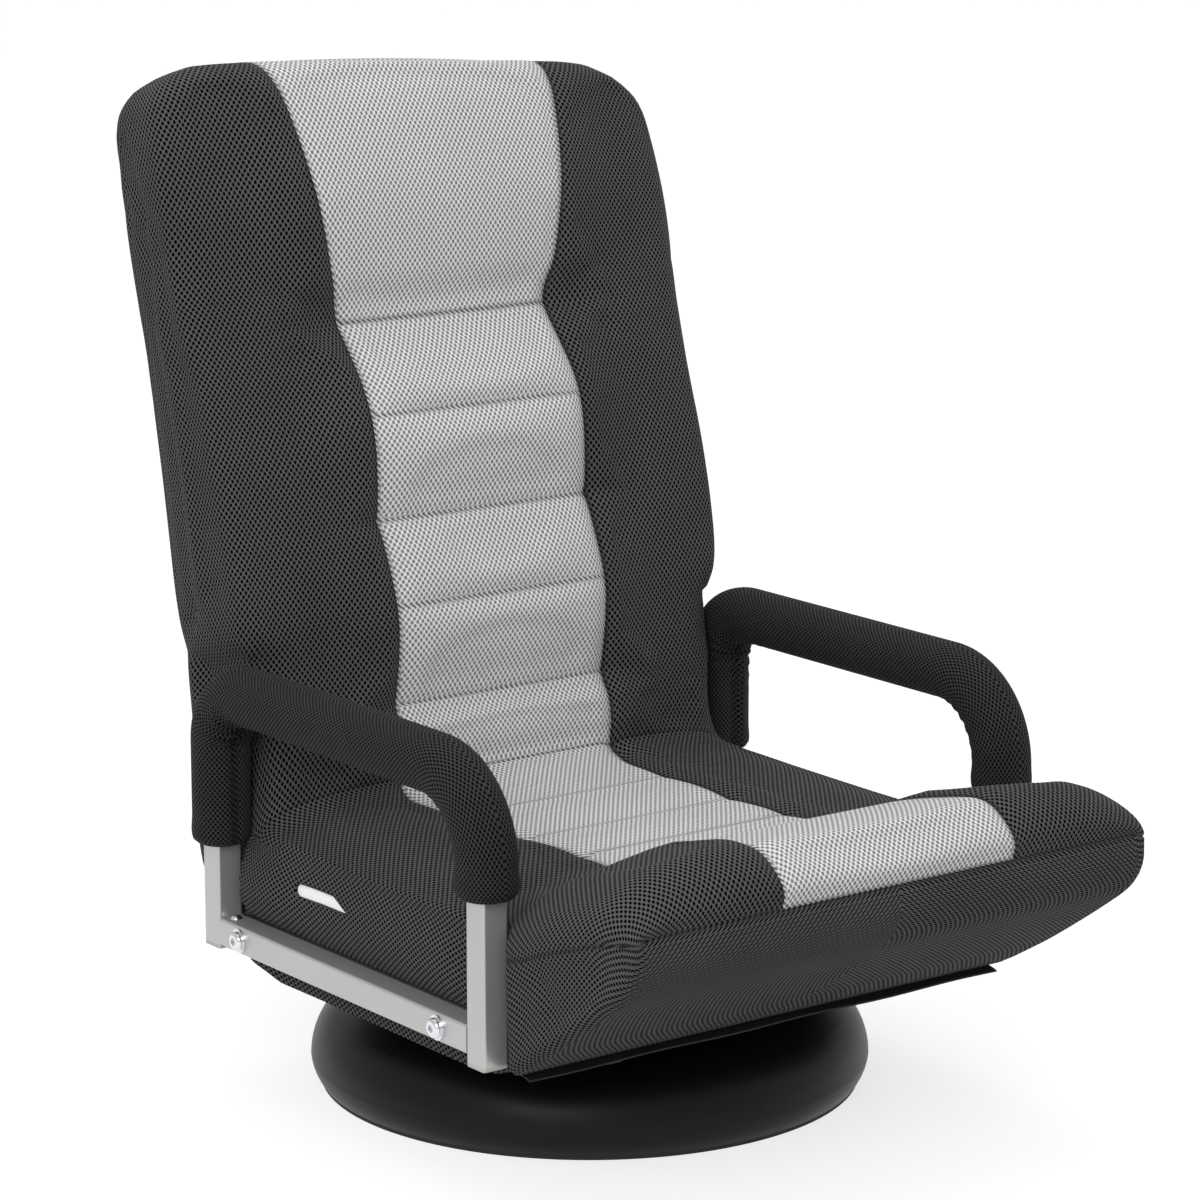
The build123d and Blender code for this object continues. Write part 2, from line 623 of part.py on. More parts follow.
def pawl():
    """Pawl in its released place: a boss, an arm and one tooth that fits a notch."""
    arm_end = tuple(PAWL_ARM_R * n for n in nose_dir)
    rounds = [Pos(*pawl_pivot) * Circle(PAWL_BOSS_R), Pos(*arm_end) * Circle(PAWL_HALF_W)]
    arm = make_hull([edge for disc in rounds for edge in disc.edges()])
    nose = tooth(PAWL_SEAT_R, PAWL_NOSE_ROOT_W, PAWL_ARM_R, PAWL_NOSE_TIP_W)
    engaged = arm + Rot(0, 0, PAWL_ANGLE) * nose - Pos(*pawl_pivot) * Circle(PAWL_PIN_R + RUN_GAP)
    return Pos(*pawl_pivot) * Rot(0, 0, PAWL_LIFT) * Pos(-pawl_pivot[0], -pawl_pivot[1]) * engaged


pawl_x = RATCHET_X + RUN_GAP
pawl_t = RATCHET_T - 2 * RUN_GAP
keep_pair("pawl", extrude(at_hinge(pawl(), pawl_x), pawl_t, dir=(1, 0, 0)))


def spring():
    """Leaf spring that stands on its post and leans on the back of the released pawl."""
    reach = hypot(pawl_pivot[0] - PAWL_ARM_R * nose_dir[0], pawl_pivot[1] - PAWL_ARM_R * nose_dir[1])
    lift_dir = polar(1, PAWL_ANGLE - 90 + PAWL_LIFT)
    out_dir = polar(1, PAWL_ANGLE + PAWL_LIFT)
    away = PAWL_HALF_W + SOFT_GAP + SPRING_T / 2
    end = tuple(p + reach * a + away * o for p, a, o in zip(pawl_pivot, lift_dir, out_dir))
    start = (spring_post[0], spring_post[1] + SPRING_POST_R)
    middle = ((start[0] + end[0]) / 2 - SPRING_BOW, (start[1] + end[1]) / 2 + SPRING_BOW)
    leaf = trace(ThreePointArc(start, middle, end), SPRING_T)
    return leaf + Pos(*spring_post) * Circle(SPRING_POST_R)


spring_leaf = extrude(at_hinge(spring(), pawl_x), pawl_t, dir=(1, 0, 0))
post_yz = (SPRING_POST_Y, SPRING_POST_Z)
spring_rivet = rod_x(SPRING_POST_R / 2, INNER_CHEEK_X, SIDE_TUBE_IN_X, *post_yz)
keep_group("pawl_springs", both_sides(spring_leaf + spring_rivet))

# Back: drawn upright about the hinge axis, then leaned back to its place
BACK_PLACE = Pos(0, HINGE_Y, HINGE_Z) * Rot(-BACK_LEAN, 0, 0)


def ratchet_arm():
    """Arm with a toothed arc that the pawl locks in steps of one notch."""
    rest_angle = PAWL_ANGLE + BACK_LEAN
    first = rest_angle - NOTCHES_UP * NOTCH_PITCH
    last = rest_angle + NOTCHES_DOWN * NOTCH_PITCH
    start = polar(RATCHET_TIP_R, first - TOOTH_MARGIN)
    middle = polar(RATCHET_TIP_R, (first + last) / 2)
    end = polar(RATCHET_TIP_R, last + TOOTH_MARGIN)
    wedge = make_face([Line((0, 0), start), ThreePointArc(start, middle, end), Line(end, (0, 0))])
    rounds = [Pos(-UPRIGHT_OUT, up) * Circle(TUBE / 2) for up in (0,) + ARM_SCREW_UP]
    strap = make_hull([edge for disc in rounds for edge in disc.edges()])
    sketch = Circle(RATCHET_ROOT_R) + wedge + strap
    notch = tooth(RATCHET_ROOT_R, NOTCH_ROOT_W, RATCHET_TIP_R + NOTCH_ROOT_W, NOTCH_TIP_W)
    for i in range(-NOTCHES_UP, NOTCHES_DOWN + 1):
        sketch -= Rot(0, 0, rest_angle + i * NOTCH_PITCH) * notch
    sketch -= Circle(HINGE_PIN_R + RUN_GAP)
    for up in ARM_SCREW_UP:
        sketch -= Pos(-UPRIGHT_OUT, up) * Circle(M6_R + HOLE_GAP)
    return sketch


ratchet_plate = extrude(Pos(RATCHET_X, 0, 0) * (Plane.YZ * ratchet_arm()), RATCHET_T, dir=(1, 0, 0))
keep_pair("ratchet_arm", BACK_PLACE * ratchet_plate)

upright = extrude(tube_section(TUBE, TUBE), UPRIGHT_TOP - UPRIGHT_FOOT)
upright = Pos(UPRIGHT_X, -UPRIGHT_OUT, UPRIGHT_FOOT) * upright
inner_face_x = UPRIGHT_X - TUBE / 2
screw_holes = [rod_x(M6_R + HOLE_GAP, inner_face_x, RATCHET_X, -UPRIGHT_OUT, up) for up in ARM_SCREW_UP]
keep_pair("back_upright", BACK_PLACE * (upright - screw_holes))
top_tube = tube_x(UPRIGHT_X + TUBE / 2, TUBE, TUBE, -UPRIGHT_OUT, UPRIGHT_TOP + TUBE / 2)
keep("back_top_tube", BACK_PLACE * top_tube)
keep("back_lumbar_tube", BACK_PLACE * tube_x(inner_face_x, TUBE, TUBE, -UPRIGHT_OUT, LUMBAR_TUBE_UP))


def back_screw(up):
    """Screw that holds a ratchet arm on its upright."""
    head = rod_x(M6_HEAD_R, RATCHET_X + RATCHET_T, RATCHET_X + RATCHET_T + M6_HEAD_H, -UPRIGHT_OUT, up)
    return head + rod_x(M6_R, inner_face_x - M6_NUT_H, RATCHET_X + RATCHET_T, -UPRIGHT_OUT, up)


def back_nut(up):
    """Nut on the inner side of an upright."""
    return nut_x(M6_NUT_R, M6_R + RUN_GAP, inner_face_x - M6_NUT_H, inner_face_x, -UPRIGHT_OUT, up)


back_screws = [part for up in ARM_SCREW_UP for part in both_sides(back_screw(up))]
keep_group("back_arm_screws", [BACK_PLACE * part for part in back_screws])
back_nuts = [part for up in ARM_SCREW_UP for part in both_sides(back_nut(up))]
keep_group("back_arm_nuts", [BACK_PLACE * part for part in back_nuts])

# Seat cushion
plan_z = (0, LIP_CREST_Z + TUBE)
lip_run = (SEAT_FRONT_Y, ARM_FRONT_Y - TUBE / 2 - SEAT_ARM_GAP)
lip_plan = box((-LIP_HALF_W, LIP_HALF_W), lip_run, plan_z)
lip_plan = fillet(lip_plan.edges().filter_by(Axis.Z).group_by(Axis.Y)[0], SEAT_FRONT_CORNER_R)
plan = lip_plan + box((-SEAT_HALF_W, SEAT_HALF_W), (lip_run[1], SEAT_REAR_Y), plan_z)

nose_y = SEAT_FRONT_Y + LIP_SET_BACK
under_steps = [
    (SEAT_REAR_Y, FOAM_Z),
    (RAKE_FOOT_Y, FOAM_Z),
    (SEAT_FRONT_Y, RAKE_TOP_Z, RAKE_MID_Y, RAKE_MID_Z),
    (nose_y, LIP_DECK_Z),
    (LIP_FOOT_Y, DECK_Z),
    (DECK_SLOPE_Y, DECK_Z),
    (SEAT_REAR_Y, DECK_REAR_Z),
]
under = slab(under_steps, -LIP_HALF_W, LIP_HALF_W) & plan
tube_side = (SIDE_TUBE_IN_X - SOFT_GAP, ARM_IN_X)
tube_run = (FRONT_TUBE_Y - TUBE / 2 - SOFT_GAP, SEAT_REAR_Y + TUBE)
under -= both_sides(box(tube_side, tube_run, (0, TUBE_TOP_Z + SOFT_GAP)))
front_run = (FRONT_TUBE_Y - TUBE / 2 - SOFT_GAP, FRONT_TUBE_Y + TUBE / 2 + SOFT_GAP)
under -= box((-ARM_IN_X, ARM_IN_X), front_run, (0, TUBE_TOP_Z + SOFT_GAP))
cross_side = CROSS_TUBE_W / 2 + SOFT_GAP
for y in (-CROSS_TUBE_Y, CROSS_TUBE_Y):
    under -= box((-ARM_IN_X, ARM_IN_X), (y - cross_side, y + cross_side), (0, TUBE_LOW_Z + SOFT_GAP))
pocket_x = (INNER_CHEEK_X - M8_NUT_H - 2 * SOFT_GAP, ARM_IN_X)
pocket_run = (CHEEK_FRONT_Y - CHEEK_FRONT_R - SOFT_GAP, SEAT_REAR_Y + TUBE)
under -= both_sides(box(pocket_x, pocket_run, (0, DECK_Z)))
nut_room = M8_NUT_R + SOFT_GAP
nut_run = (ARM_BOLT_FRONT_Y - nut_room, ARM_BOLT_FRONT_Y + nut_room)
nut_pocket_x = (SIDE_TUBE_IN_X - M8_NUT_H - SOFT_GAP, ARM_IN_X)
under -= both_sides(box(nut_pocket_x, nut_run, (0, TUBE_TOP_Z)))
under -= loop_bar(LOOP_R + SOFT_GAP)
keep("seat_under_foam", under)


def lip_deck_z(y):
    """Height of the under block's ramp at y."""
    return DECK_Z + (LIP_DECK_Z - DECK_Z) * (y - LIP_FOOT_Y) / (nose_y - LIP_FOOT_Y)


def crowned(section, half_width, drop):
    """Soft pad from side to side: full height in the middle and lower by a drop at its edges."""
    shape = [section(drop, -half_width), section(0, 0), section(drop, half_width)]
    return loft(shape)


def seat_pad_section(drop, x):
    """Channelled seat pad: one arc for each channel between its seams."""
    seams = (SEAT_REAR_Y,) + SEAT_PAD_SEAMS_Y + (SEAT_PAD_FRONT_Y,)
    seam_z = SEAT_SEAM_Z - drop / CROWN_SEAM_SHARE
    steps = [(SEAT_REAR_Y, DECK_Z), (SEAT_REAR_Y, seam_z)]
    for rear, front in zip(seams, seams[1:]):
        steps.append((front, seam_z, (rear + front) / 2, SEAT_SEAM_Z + SEAT_CHANNEL_RISE - drop))
    foot = [(SEAT_PAD_FRONT_Y, lip_deck_z(SEAT_PAD_FRONT_Y)), (LIP_FOOT_Y, DECK_Z)]
    return outline(steps + foot, side_view(x))


keep("seat_centre_pad", crowned(seat_pad_section, SEAT_PAD_HALF_W, CROWN_DROP))


def lip_pad_section(drop, x):
    """Raised front lip: a long swell up to the crest and a tight nose down to the front seam."""
    middle_y = (SEAT_PAD_FRONT_Y + LIP_CREST_Y) / 2
    middle_z = (LIP_REAR_Z + LIP_CREST_Z) / 2 + LIP_SWELL
    nose_via_y = SEAT_FRONT_Y + NOSE_IN * (LIP_CREST_Y - SEAT_FRONT_Y)
    nose_via_z = LIP_SEAM_Z + NOSE_UP * (LIP_CREST_Z - LIP_SEAM_Z)
    steps = [
        (SEAT_PAD_FRONT_Y, lip_deck_z(SEAT_PAD_FRONT_Y)),
        (SEAT_PAD_FRONT_Y, LIP_REAR_Z - drop),
        (LIP_CREST_Y, LIP_CREST_Z - drop, middle_y, middle_z - drop),
        (SEAT_FRONT_Y, LIP_SEAM_Z - drop / CROWN_SEAM_SHARE, nose_via_y, nose_via_z - drop),
        (nose_y, LIP_DECK_Z),
    ]
    return outline(steps, side_view(x))


keep("seat_lip_pad", crowned(lip_pad_section, LIP_PAD_HALF_W, CROWN_DROP))


def seat_bolster_section(drop, x):
    """Side of the seat: flat along the thigh, up over the lip, and down its nose."""
    top = BOLSTER_TOP_Z - drop
    valley = BOLSTER_VALLEY_Z - drop
    crest = BOLSTER_CREST_Z - drop
    nose = SEAT_FRONT_Y + BOLSTER_NOSE_DROP * drop
    seam = BOLSTER_SEAM_Z - BOLSTER_NOSE_DROP * drop
    round_in = corner_in(BOLSTER_CORNER_R)
    middle_y = (LIP_FOOT_Y + LIP_CREST_Y) / 2
    nose_via_y = nose + NOSE_IN * (LIP_CREST_Y - nose)
    nose_via_z = BOLSTER_SEAM_Z + NOSE_UP * (BOLSTER_CREST_Z - BOLSTER_SEAM_Z) - drop
    steps = [
        (SEAT_REAR_Y, DECK_Z),
        (SEAT_REAR_Y, top - BOLSTER_CORNER_R),
        (SEAT_REAR_Y - BOLSTER_CORNER_R, top, SEAT_REAR_Y - round_in, top - round_in),
        (LIP_FOOT_Y, valley, (SEAT_REAR_Y + LIP_FOOT_Y) / 2, (top + valley) / 2 + BOLSTER_SWELL),
        (LIP_CREST_Y, crest, middle_y, (valley + crest) / 2 + BOLSTER_SWELL),
        (nose, seam, nose_via_y, nose_via_z),
        (nose_y, LIP_DECK_Z),
        (LIP_FOOT_Y, DECK_Z),
    ]
    return outline(steps, side_view(x))


bolster_reach = LIP_HALF_W - SEAT_PAD_HALF_W
bolster_cuts = [(drop, SEAT_PAD_HALF_W + share * bolster_reach) for share, drop in BOLSTER_ROLL]
seat_bolster = loft([seat_bolster_section(*cut) for cut in bolster_cuts], ruled=True) & plan
lip_room = box((0, LIP_PAD_HALF_W), (SEAT_FRONT_Y - TUBE, SEAT_PAD_FRONT_Y), plan_z)
keep_pair("seat_bolster", seat_bolster - lip_room)

cover_strips = [
    (RAKE_FOOT_Y + DUST_COVER_IN + ZIP_W, -CROSS_TUBE_Y - cross_side),
    (-CROSS_TUBE_Y + cross_side, CROSS_TUBE_Y - cross_side),
    (CROSS_TUBE_Y + cross_side, SEAT_REAR_Y - DUST_COVER_IN),
]
strip_x = (-SIDE_TUBE_IN_X + DUST_COVER_IN, SIDE_TUBE_IN_X - DUST_COVER_IN)
keep_group("seat_dust_cover", [box(strip_x, strip, (SEAT_BOTTOM_Z, FOAM_Z)) for strip in cover_strips])
zip_run = (RAKE_FOOT_Y + ZIP_FROM_EDGE, RAKE_FOOT_Y + ZIP_FROM_EDGE + ZIP_W)
keep("seat_zip", box((-ZIP_LENGTH / 2, ZIP_LENGTH / 2), zip_run, (FOAM_Z - ZIP_T, FOAM_Z)))


# Back cushion
def back_view(x):
    """Places an (up, out) pair of the upright back in the plane at x."""
    return lambda up, out: (x, -out, up)


def back_slab(steps, half_width):
    """A side-view outline of the back pushed along X."""
    return extrude(outline(steps, back_view(-half_width)), 2 * half_width, dir=(1, 0, 0))


def front_shape(steps):
    """A front-view outline of (x, up) pairs pushed through the back."""
    depth = BACK_FRONT_MAX + HEEL_R
    return extrude(outline(steps, lambda x, up: (x, -depth, up)), 2 * depth, dir=(0, 1, 0))


def mirrored_steps(half):
    """Closes half an outline, given from the bottom to the top, with its mirror image."""
    steps = list(half)
    for i in range(len(half) - 1, -1, -1):
        step = (-half[i][0], half[i][1])
        if i + 1 < len(half) and len(half[i + 1]) == 4:
            step += (-half[i + 1][2], half[i + 1][3])
        steps.append(step)
    return steps


corner_via = BACK_CORNER_R * sin(radians(45))
corner_up = BACK_TOP - BACK_CORNER_R
corner_x = BACK_HALF_W - BACK_CORNER_R
silhouette_half = [
    (BACK_LOW_HALF_W, -HEEL_R - TUBE),
    (BACK_LOW_HALF_W, BACK_NARROW_UP),
    (BACK_HALF_W, BACK_WIDE_UP),
    (BACK_HALF_W, corner_up),
    (corner_x, BACK_TOP, corner_x + corner_via, corner_up + corner_via),
]
silhouette = front_shape(mirrored_steps(silhouette_half))

edge_via_x = BACK_EDGE_X + BACK_EDGE_VIA * (BACK_HALF_W - BACK_EDGE_X)
rear_via = -HEEL_R + BACK_EDGE_FALL * (HEEL_R - BACK_EDGE_REAR)
front_via = BACK_FRONT_MAX - BACK_EDGE_FALL * (BACK_FRONT_MAX - BACK_EDGE_FRONT)
rounding_half = [
    (BACK_EDGE_X, -HEEL_R),
    (BACK_HALF_W, -BACK_EDGE_REAR, edge_via_x, rear_via),
    (BACK_HALF_W, BACK_EDGE_FRONT),
    (BACK_EDGE_X, BACK_FRONT_MAX, edge_via_x, front_via),
]
rounding_face = outline(mirrored_steps(rounding_half), lambda x, out: (x, -out, -HEEL_R))
rounding = extrude(rounding_face, BACK_TOP + HEEL_R, dir=(0, 0, 1))
hinge_pocket = both_sides(rod_x(HINGE_POCKET_R, HINGE_POCKET_X, BACK_HALF_W, 0, 0))

heel_mid = HEEL_R * sin(radians(45))
top_in = corner_in(BACK_TOP_ROUND)
front_in = corner_in(2 * BACK_TOP_ROUND)
rear_steps = [
    (HEEL_STEP, BACK_DECK),
    (HEEL_STEP, HEEL_R),
    (0, HEEL_R),
    (-HEEL_R, 0, -heel_mid, heel_mid),
    (0, -HEEL_R, -heel_mid, -heel_mid),
    (BACK_REAR_LOW_UP, -BACK_REAR_LOW),
    (BACK_TOP - BACK_TOP_ROUND, -BACK_REAR_TOP),
    (BACK_TOP, -BACK_REAR_TOP + BACK_TOP_ROUND, BACK_TOP - top_in, -BACK_REAR_TOP + top_in),
    (BACK_TOP, BACK_DECK),
]
rear_foam = back_slab(rear_steps, BACK_HALF_W) & silhouette & rounding
tube_out = (-BACK_DECK - TUBE, -UPRIGHT_OUT + TUBE / 2 + SOFT_GAP)
upright_room = (UPRIGHT_X - TUBE / 2 - SOFT_GAP, RATCHET_X + RATCHET_T + M6_HEAD_H + SOFT_GAP)
low_room = (HEEL_STEP, ARM_SCREW_UP[-1] + TUBE / 2 + SOFT_GAP)
tall_room = (UPRIGHT_FOOT - SOFT_GAP, UPRIGHT_TOP + SOFT_GAP)
tall_x = (UPRIGHT_X - TUBE / 2 - SOFT_GAP, UPRIGHT_X + TUBE / 2 + SOFT_GAP)
rear_foam -= both_sides(box(upright_room, tube_out, low_room))
rear_foam -= both_sides(box(tall_x, tube_out, tall_room))
top_room = (UPRIGHT_TOP - SOFT_GAP, UPRIGHT_TOP + TUBE + SOFT_GAP)
rear_foam -= box((-tall_x[1], tall_x[1]), tube_out, top_room)
lumbar_room = (LUMBAR_TUBE_UP - TUBE / 2 - SOFT_GAP, LUMBAR_TUBE_UP + TUBE / 2 + SOFT_GAP)
rear_foam -= box((-tall_x[1], tall_x[1]), tube_out, lumbar_room)
for up in ARM_SCREW_UP:
    nut_x_room = (inner_face_x - M6_NUT_H - SOFT_GAP, inner_face_x)
    nut_up_room = (up - M6_NUT_R - SOFT_GAP, up + M6_NUT_R + SOFT_GAP)
    rear_foam -= both_sides(box(nut_x_room, tube_out, nut_up_room))
keep("back_rear_foam", BACK_PLACE * (rear_foam - hinge_pocket))

last_seam = BACK_SEAMS[-1]


def back_pad_section(drop, x):
    """Channelled back pad: one arc for each channel between its seams."""
    steps = [(BACK_PAD_FOOT, BACK_DECK), (BACK_PAD_FOOT, BACK_PAD_FOOT_OUT - drop / CROWN_SEAM_SHARE)]
    here = (BACK_PAD_FOOT, BACK_PAD_FOOT_OUT)
    for seam in BACK_SEAMS:
        middle_up = (here[0] + seam[0]) / 2
        middle_out = (here[1] + seam[1]) / 2 + BACK_CHANNEL_RISE - drop
        steps.append((seam[0], seam[1] - drop / CROWN_SEAM_SHARE, middle_up, middle_out))
        here = seam
    return outline(steps + [(last_seam[0], BACK_DECK)], back_view(x))


keep("back_centre_pad", BACK_PLACE * crowned(back_pad_section, BACK_PAD_HALF_W, CROWN_DROP))


def head_pad_section(drop, x):
    """Head pad: one tall swell with a rounded top edge."""
    shoulder = BACK_TOP - BACK_TOP_ROUND
    middle = ((last_seam[0] + shoulder) / 2, last_seam[1] + HEAD_SWELL - drop)
    seam_drop = drop / CROWN_SEAM_SHARE
    steps = [
        (last_seam[0], BACK_DECK),
        (last_seam[0], last_seam[1] - seam_drop),
        (shoulder, HEAD_TOP_OUT - seam_drop, *middle),
        (BACK_TOP, HEAD_TOP_OUT - 2 * BACK_TOP_ROUND, BACK_TOP - top_in, HEAD_TOP_OUT - front_in),
        (BACK_TOP, BACK_DECK),
    ]
    return outline(steps, back_view(x))


head_half = [(BACK_PAD_HALF_W, last_seam[0]), (HEAD_HALF_W, BACK_TOP + TUBE)]
head_shape = front_shape(mirrored_steps(head_half))
head_pad = crowned(head_pad_section, HEAD_HALF_W, CROWN_DROP) & head_shape
keep("back_head_pad", BACK_PLACE * head_pad)

foot_r = BACK_BOLSTER_FOOT_R
foot_via = corner_in(foot_r)
bolster_steps = [
    (BACK_PAD_FOOT, BACK_DECK),
    (BACK_PAD_FOOT, BACK_BOLSTER_OUT - foot_r),
    (BACK_PAD_FOOT + foot_r, BACK_BOLSTER_OUT, BACK_PAD_FOOT + foot_via, BACK_BOLSTER_OUT - foot_via),
]
bolster_here = (BACK_PAD_FOOT + foot_r, BACK_BOLSTER_OUT)
bolster_top = (BACK_TOP - BACK_TOP_ROUND, HEAD_TOP_OUT - CROWN_DROP)
for waist in BACK_WAIST + (bolster_top,):
    via_up = (bolster_here[0] + waist[0]) / 2
    via_out = (bolster_here[1] + waist[1]) / 2 + BACK_BOLSTER_SWELL
    bolster_steps.append(waist + (via_up, via_out))
    bolster_here = waist
top_via = (BACK_TOP - top_in, HEAD_TOP_OUT - CROWN_DROP - front_in)
bolster_steps.append((BACK_TOP, HEAD_TOP_OUT - 2 * BACK_TOP_ROUND) + top_via)
bolster_steps.append((BACK_TOP, BACK_DECK))
centre_half = [(BACK_PAD_HALF_W, BACK_PAD_FOOT - TUBE), (BACK_PAD_HALF_W, last_seam[0])]
centre_shape = front_shape(mirrored_steps(centre_half))
bolsters = back_slab(bolster_steps, BACK_HALF_W) & silhouette & rounding
bolsters = bolsters - centre_shape - head_shape - hinge_pocket
left_bolster = bolsters & box((0, BACK_HALF_W), (-BACK_FRONT_MAX, HEEL_R), (0, BACK_TOP))
keep_pair("back_bolster", BACK_PLACE * left_bolster)

for name, solid in pieces.items():
    export_step(solid, os.path.join("parts", name + ".step"))
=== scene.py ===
# %% [markdown]
# A floor gaming chair, dressed around its CAD frame.
# The frame brings the steel, the swivel and the hinge at their real places. What Blender adds is what the
# eye meets first: a padded cover of knitted spacer mesh, two padded arm sleeves, and the finish of each
# metal. Each new shape is an array of points worked out with numpy, in millimetres, in the frame's axes.

# %% Load the frame
import json
from math import cos, pi, radians, sin

import bpy
import numpy as np
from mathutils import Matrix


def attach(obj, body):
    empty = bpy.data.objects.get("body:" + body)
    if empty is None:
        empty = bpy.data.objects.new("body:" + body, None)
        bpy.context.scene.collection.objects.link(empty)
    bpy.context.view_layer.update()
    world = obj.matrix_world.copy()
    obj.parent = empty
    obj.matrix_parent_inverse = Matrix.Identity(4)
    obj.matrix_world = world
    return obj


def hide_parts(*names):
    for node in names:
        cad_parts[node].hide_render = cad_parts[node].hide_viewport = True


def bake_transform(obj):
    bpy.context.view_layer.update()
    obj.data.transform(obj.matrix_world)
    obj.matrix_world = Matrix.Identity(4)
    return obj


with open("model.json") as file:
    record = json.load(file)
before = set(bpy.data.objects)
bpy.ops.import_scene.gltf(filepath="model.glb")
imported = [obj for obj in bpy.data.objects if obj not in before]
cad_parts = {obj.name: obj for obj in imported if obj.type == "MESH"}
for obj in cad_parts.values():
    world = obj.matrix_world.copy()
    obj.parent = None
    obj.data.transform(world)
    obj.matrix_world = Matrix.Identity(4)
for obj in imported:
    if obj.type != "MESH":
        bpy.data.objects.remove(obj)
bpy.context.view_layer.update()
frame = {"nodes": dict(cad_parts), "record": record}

MM = 0.001

# %% [markdown]
# The camera comes first. A product photograph like this one is taken with a long lens from a few metres
# away, from the front and a little above, so edges stay almost parallel.

# %% Camera at the photograph's viewing angle
CAMERA_PLACE = (-1.739158, -2.343804, 0.978117)
CAMERA_PITCH = 12.23
CAMERA_TURN = -36.72
CAMERA_LENS = 127.47


def show(name, data):
    """Puts an object with this data into the scene, at the origin."""
    thing = bpy.data.objects.new(name, data)
    bpy.context.scene.collection.objects.link(thing)
    return thing


camera_data = bpy.data.cameras.new("camera")
camera_data.lens = CAMERA_LENS
camera_data.sensor_width = 36.0
camera = show("camera", camera_data)
camera.location = CAMERA_PLACE
camera.rotation_euler = (radians(90.0 - CAMERA_PITCH), 0.0, radians(CAMERA_TURN))
bpy.context.scene.camera = camera
print("camera stands", round(float(np.linalg.norm(CAMERA_PLACE)), 2), "m from the swivel axis")

# %% [markdown]
# Materials are node graphs. One small function adds a node, sets its values and links its inputs, so that
# each graph below reads as a list of steps. Colours are written as the hex values a screen shows and turned
# to linear.


# %% Small helpers for colours and nodes
def linear(hex_code):
    """The linear colour of an sRGB hex value, by the sRGB curve."""
    share = np.array([int(hex_code[i : i + 2], 16) for i in (1, 3, 5)]) / 255.0
    curve = np.where(share <= 0.04045, share / 12.92, ((share + 0.055) / 1.055) ** 2.4)
    return (*(float(v) for v in curve), 1.0)


def add_node(tree, kind, settings=None, **inputs):
    """Adds one node. Settings are its properties, inputs are values or sockets by input name or position."""
    node = tree.nodes.new(kind)
    for key, value in (settings or {}).items():
        setattr(node, key, value)
    for key, value in inputs.items():
        place = int(key[2:]) if key.startswith("in") and key[2:].isdigit() else key.replace("_", " ")
        if isinstance(value, bpy.types.NodeSocket):
            tree.links.new(value, node.inputs[place])
        else:
            node.inputs[place].default_value = value
    return node


def calc(tree, operation, first, second=0.0):
    """One step of arithmetic on sockets or numbers."""
    return add_node(tree, "ShaderNodeMath", {"operation": operation}, in0=first, in1=second).outputs[0]


def ramp(tree, value, low, high, kind="SMOOTHSTEP"):
    """0 up to one value, 1 from another on, and a smooth or a straight way between them."""
    way = {"interpolation_type": kind}
    node = add_node(tree, "ShaderNodeMapRange", way, Value=value, From_Min=low, From_Max=high)
    return node.outputs["Result"]


def mix(tree, share, first, second):
    """A colour between two others, each given as a colour or a socket."""
    return add_node(tree, "ShaderNodeMix", {"data_type": "RGBA"}, in0=share, in6=first, in7=second).outputs[2]


def new_material(name):
    """An empty node material and its tree."""
    material = bpy.data.materials.new(name)
    material.use_nodes = True
    material.node_tree.nodes.clear()
    return material, material.node_tree


def close_material(tree, shader):
    """Links a shader to the material's output."""
    add_node(tree, "ShaderNodeOutputMaterial", Surface=shader.outputs["BSDF"])


# %% [markdown]
# The cover is polyester spacer mesh: two knitted faces held apart by a pile, with rows of small holes in
# the outer face. Its holes sit in staggered rows, so the product of two cosines marks them: it peaks at
# each hole and halfway between four others. The holes are coloured dark, partly for the pile seen through
# them and partly as painted shade inside them. The pattern reads the piece's own UV map, which holds
# distances in metres along the cloth, so that rows follow the panels round every bulge. The real pitch is
# about 3 mm by 4 mm. It is drawn a little coarser, so that it shows in a picture of this size. On each seam
# the colour turns to a row of stitches over a dark seam colour, which is painted shade in the seam's groove.

# %% Spacer mesh in black and in grey
MESH_ACROSS = 4.2
MESH_ALONG = 5.4
MESH_BUMP = 0.0011
MESH_SHINE = 0.25
STITCH = 4.5
HOLE_EDGE = (-0.10, 0.45)
STITCH_EDGE = (-0.2, 0.5)
SEAM_EDGE = (0.3, 0.75)


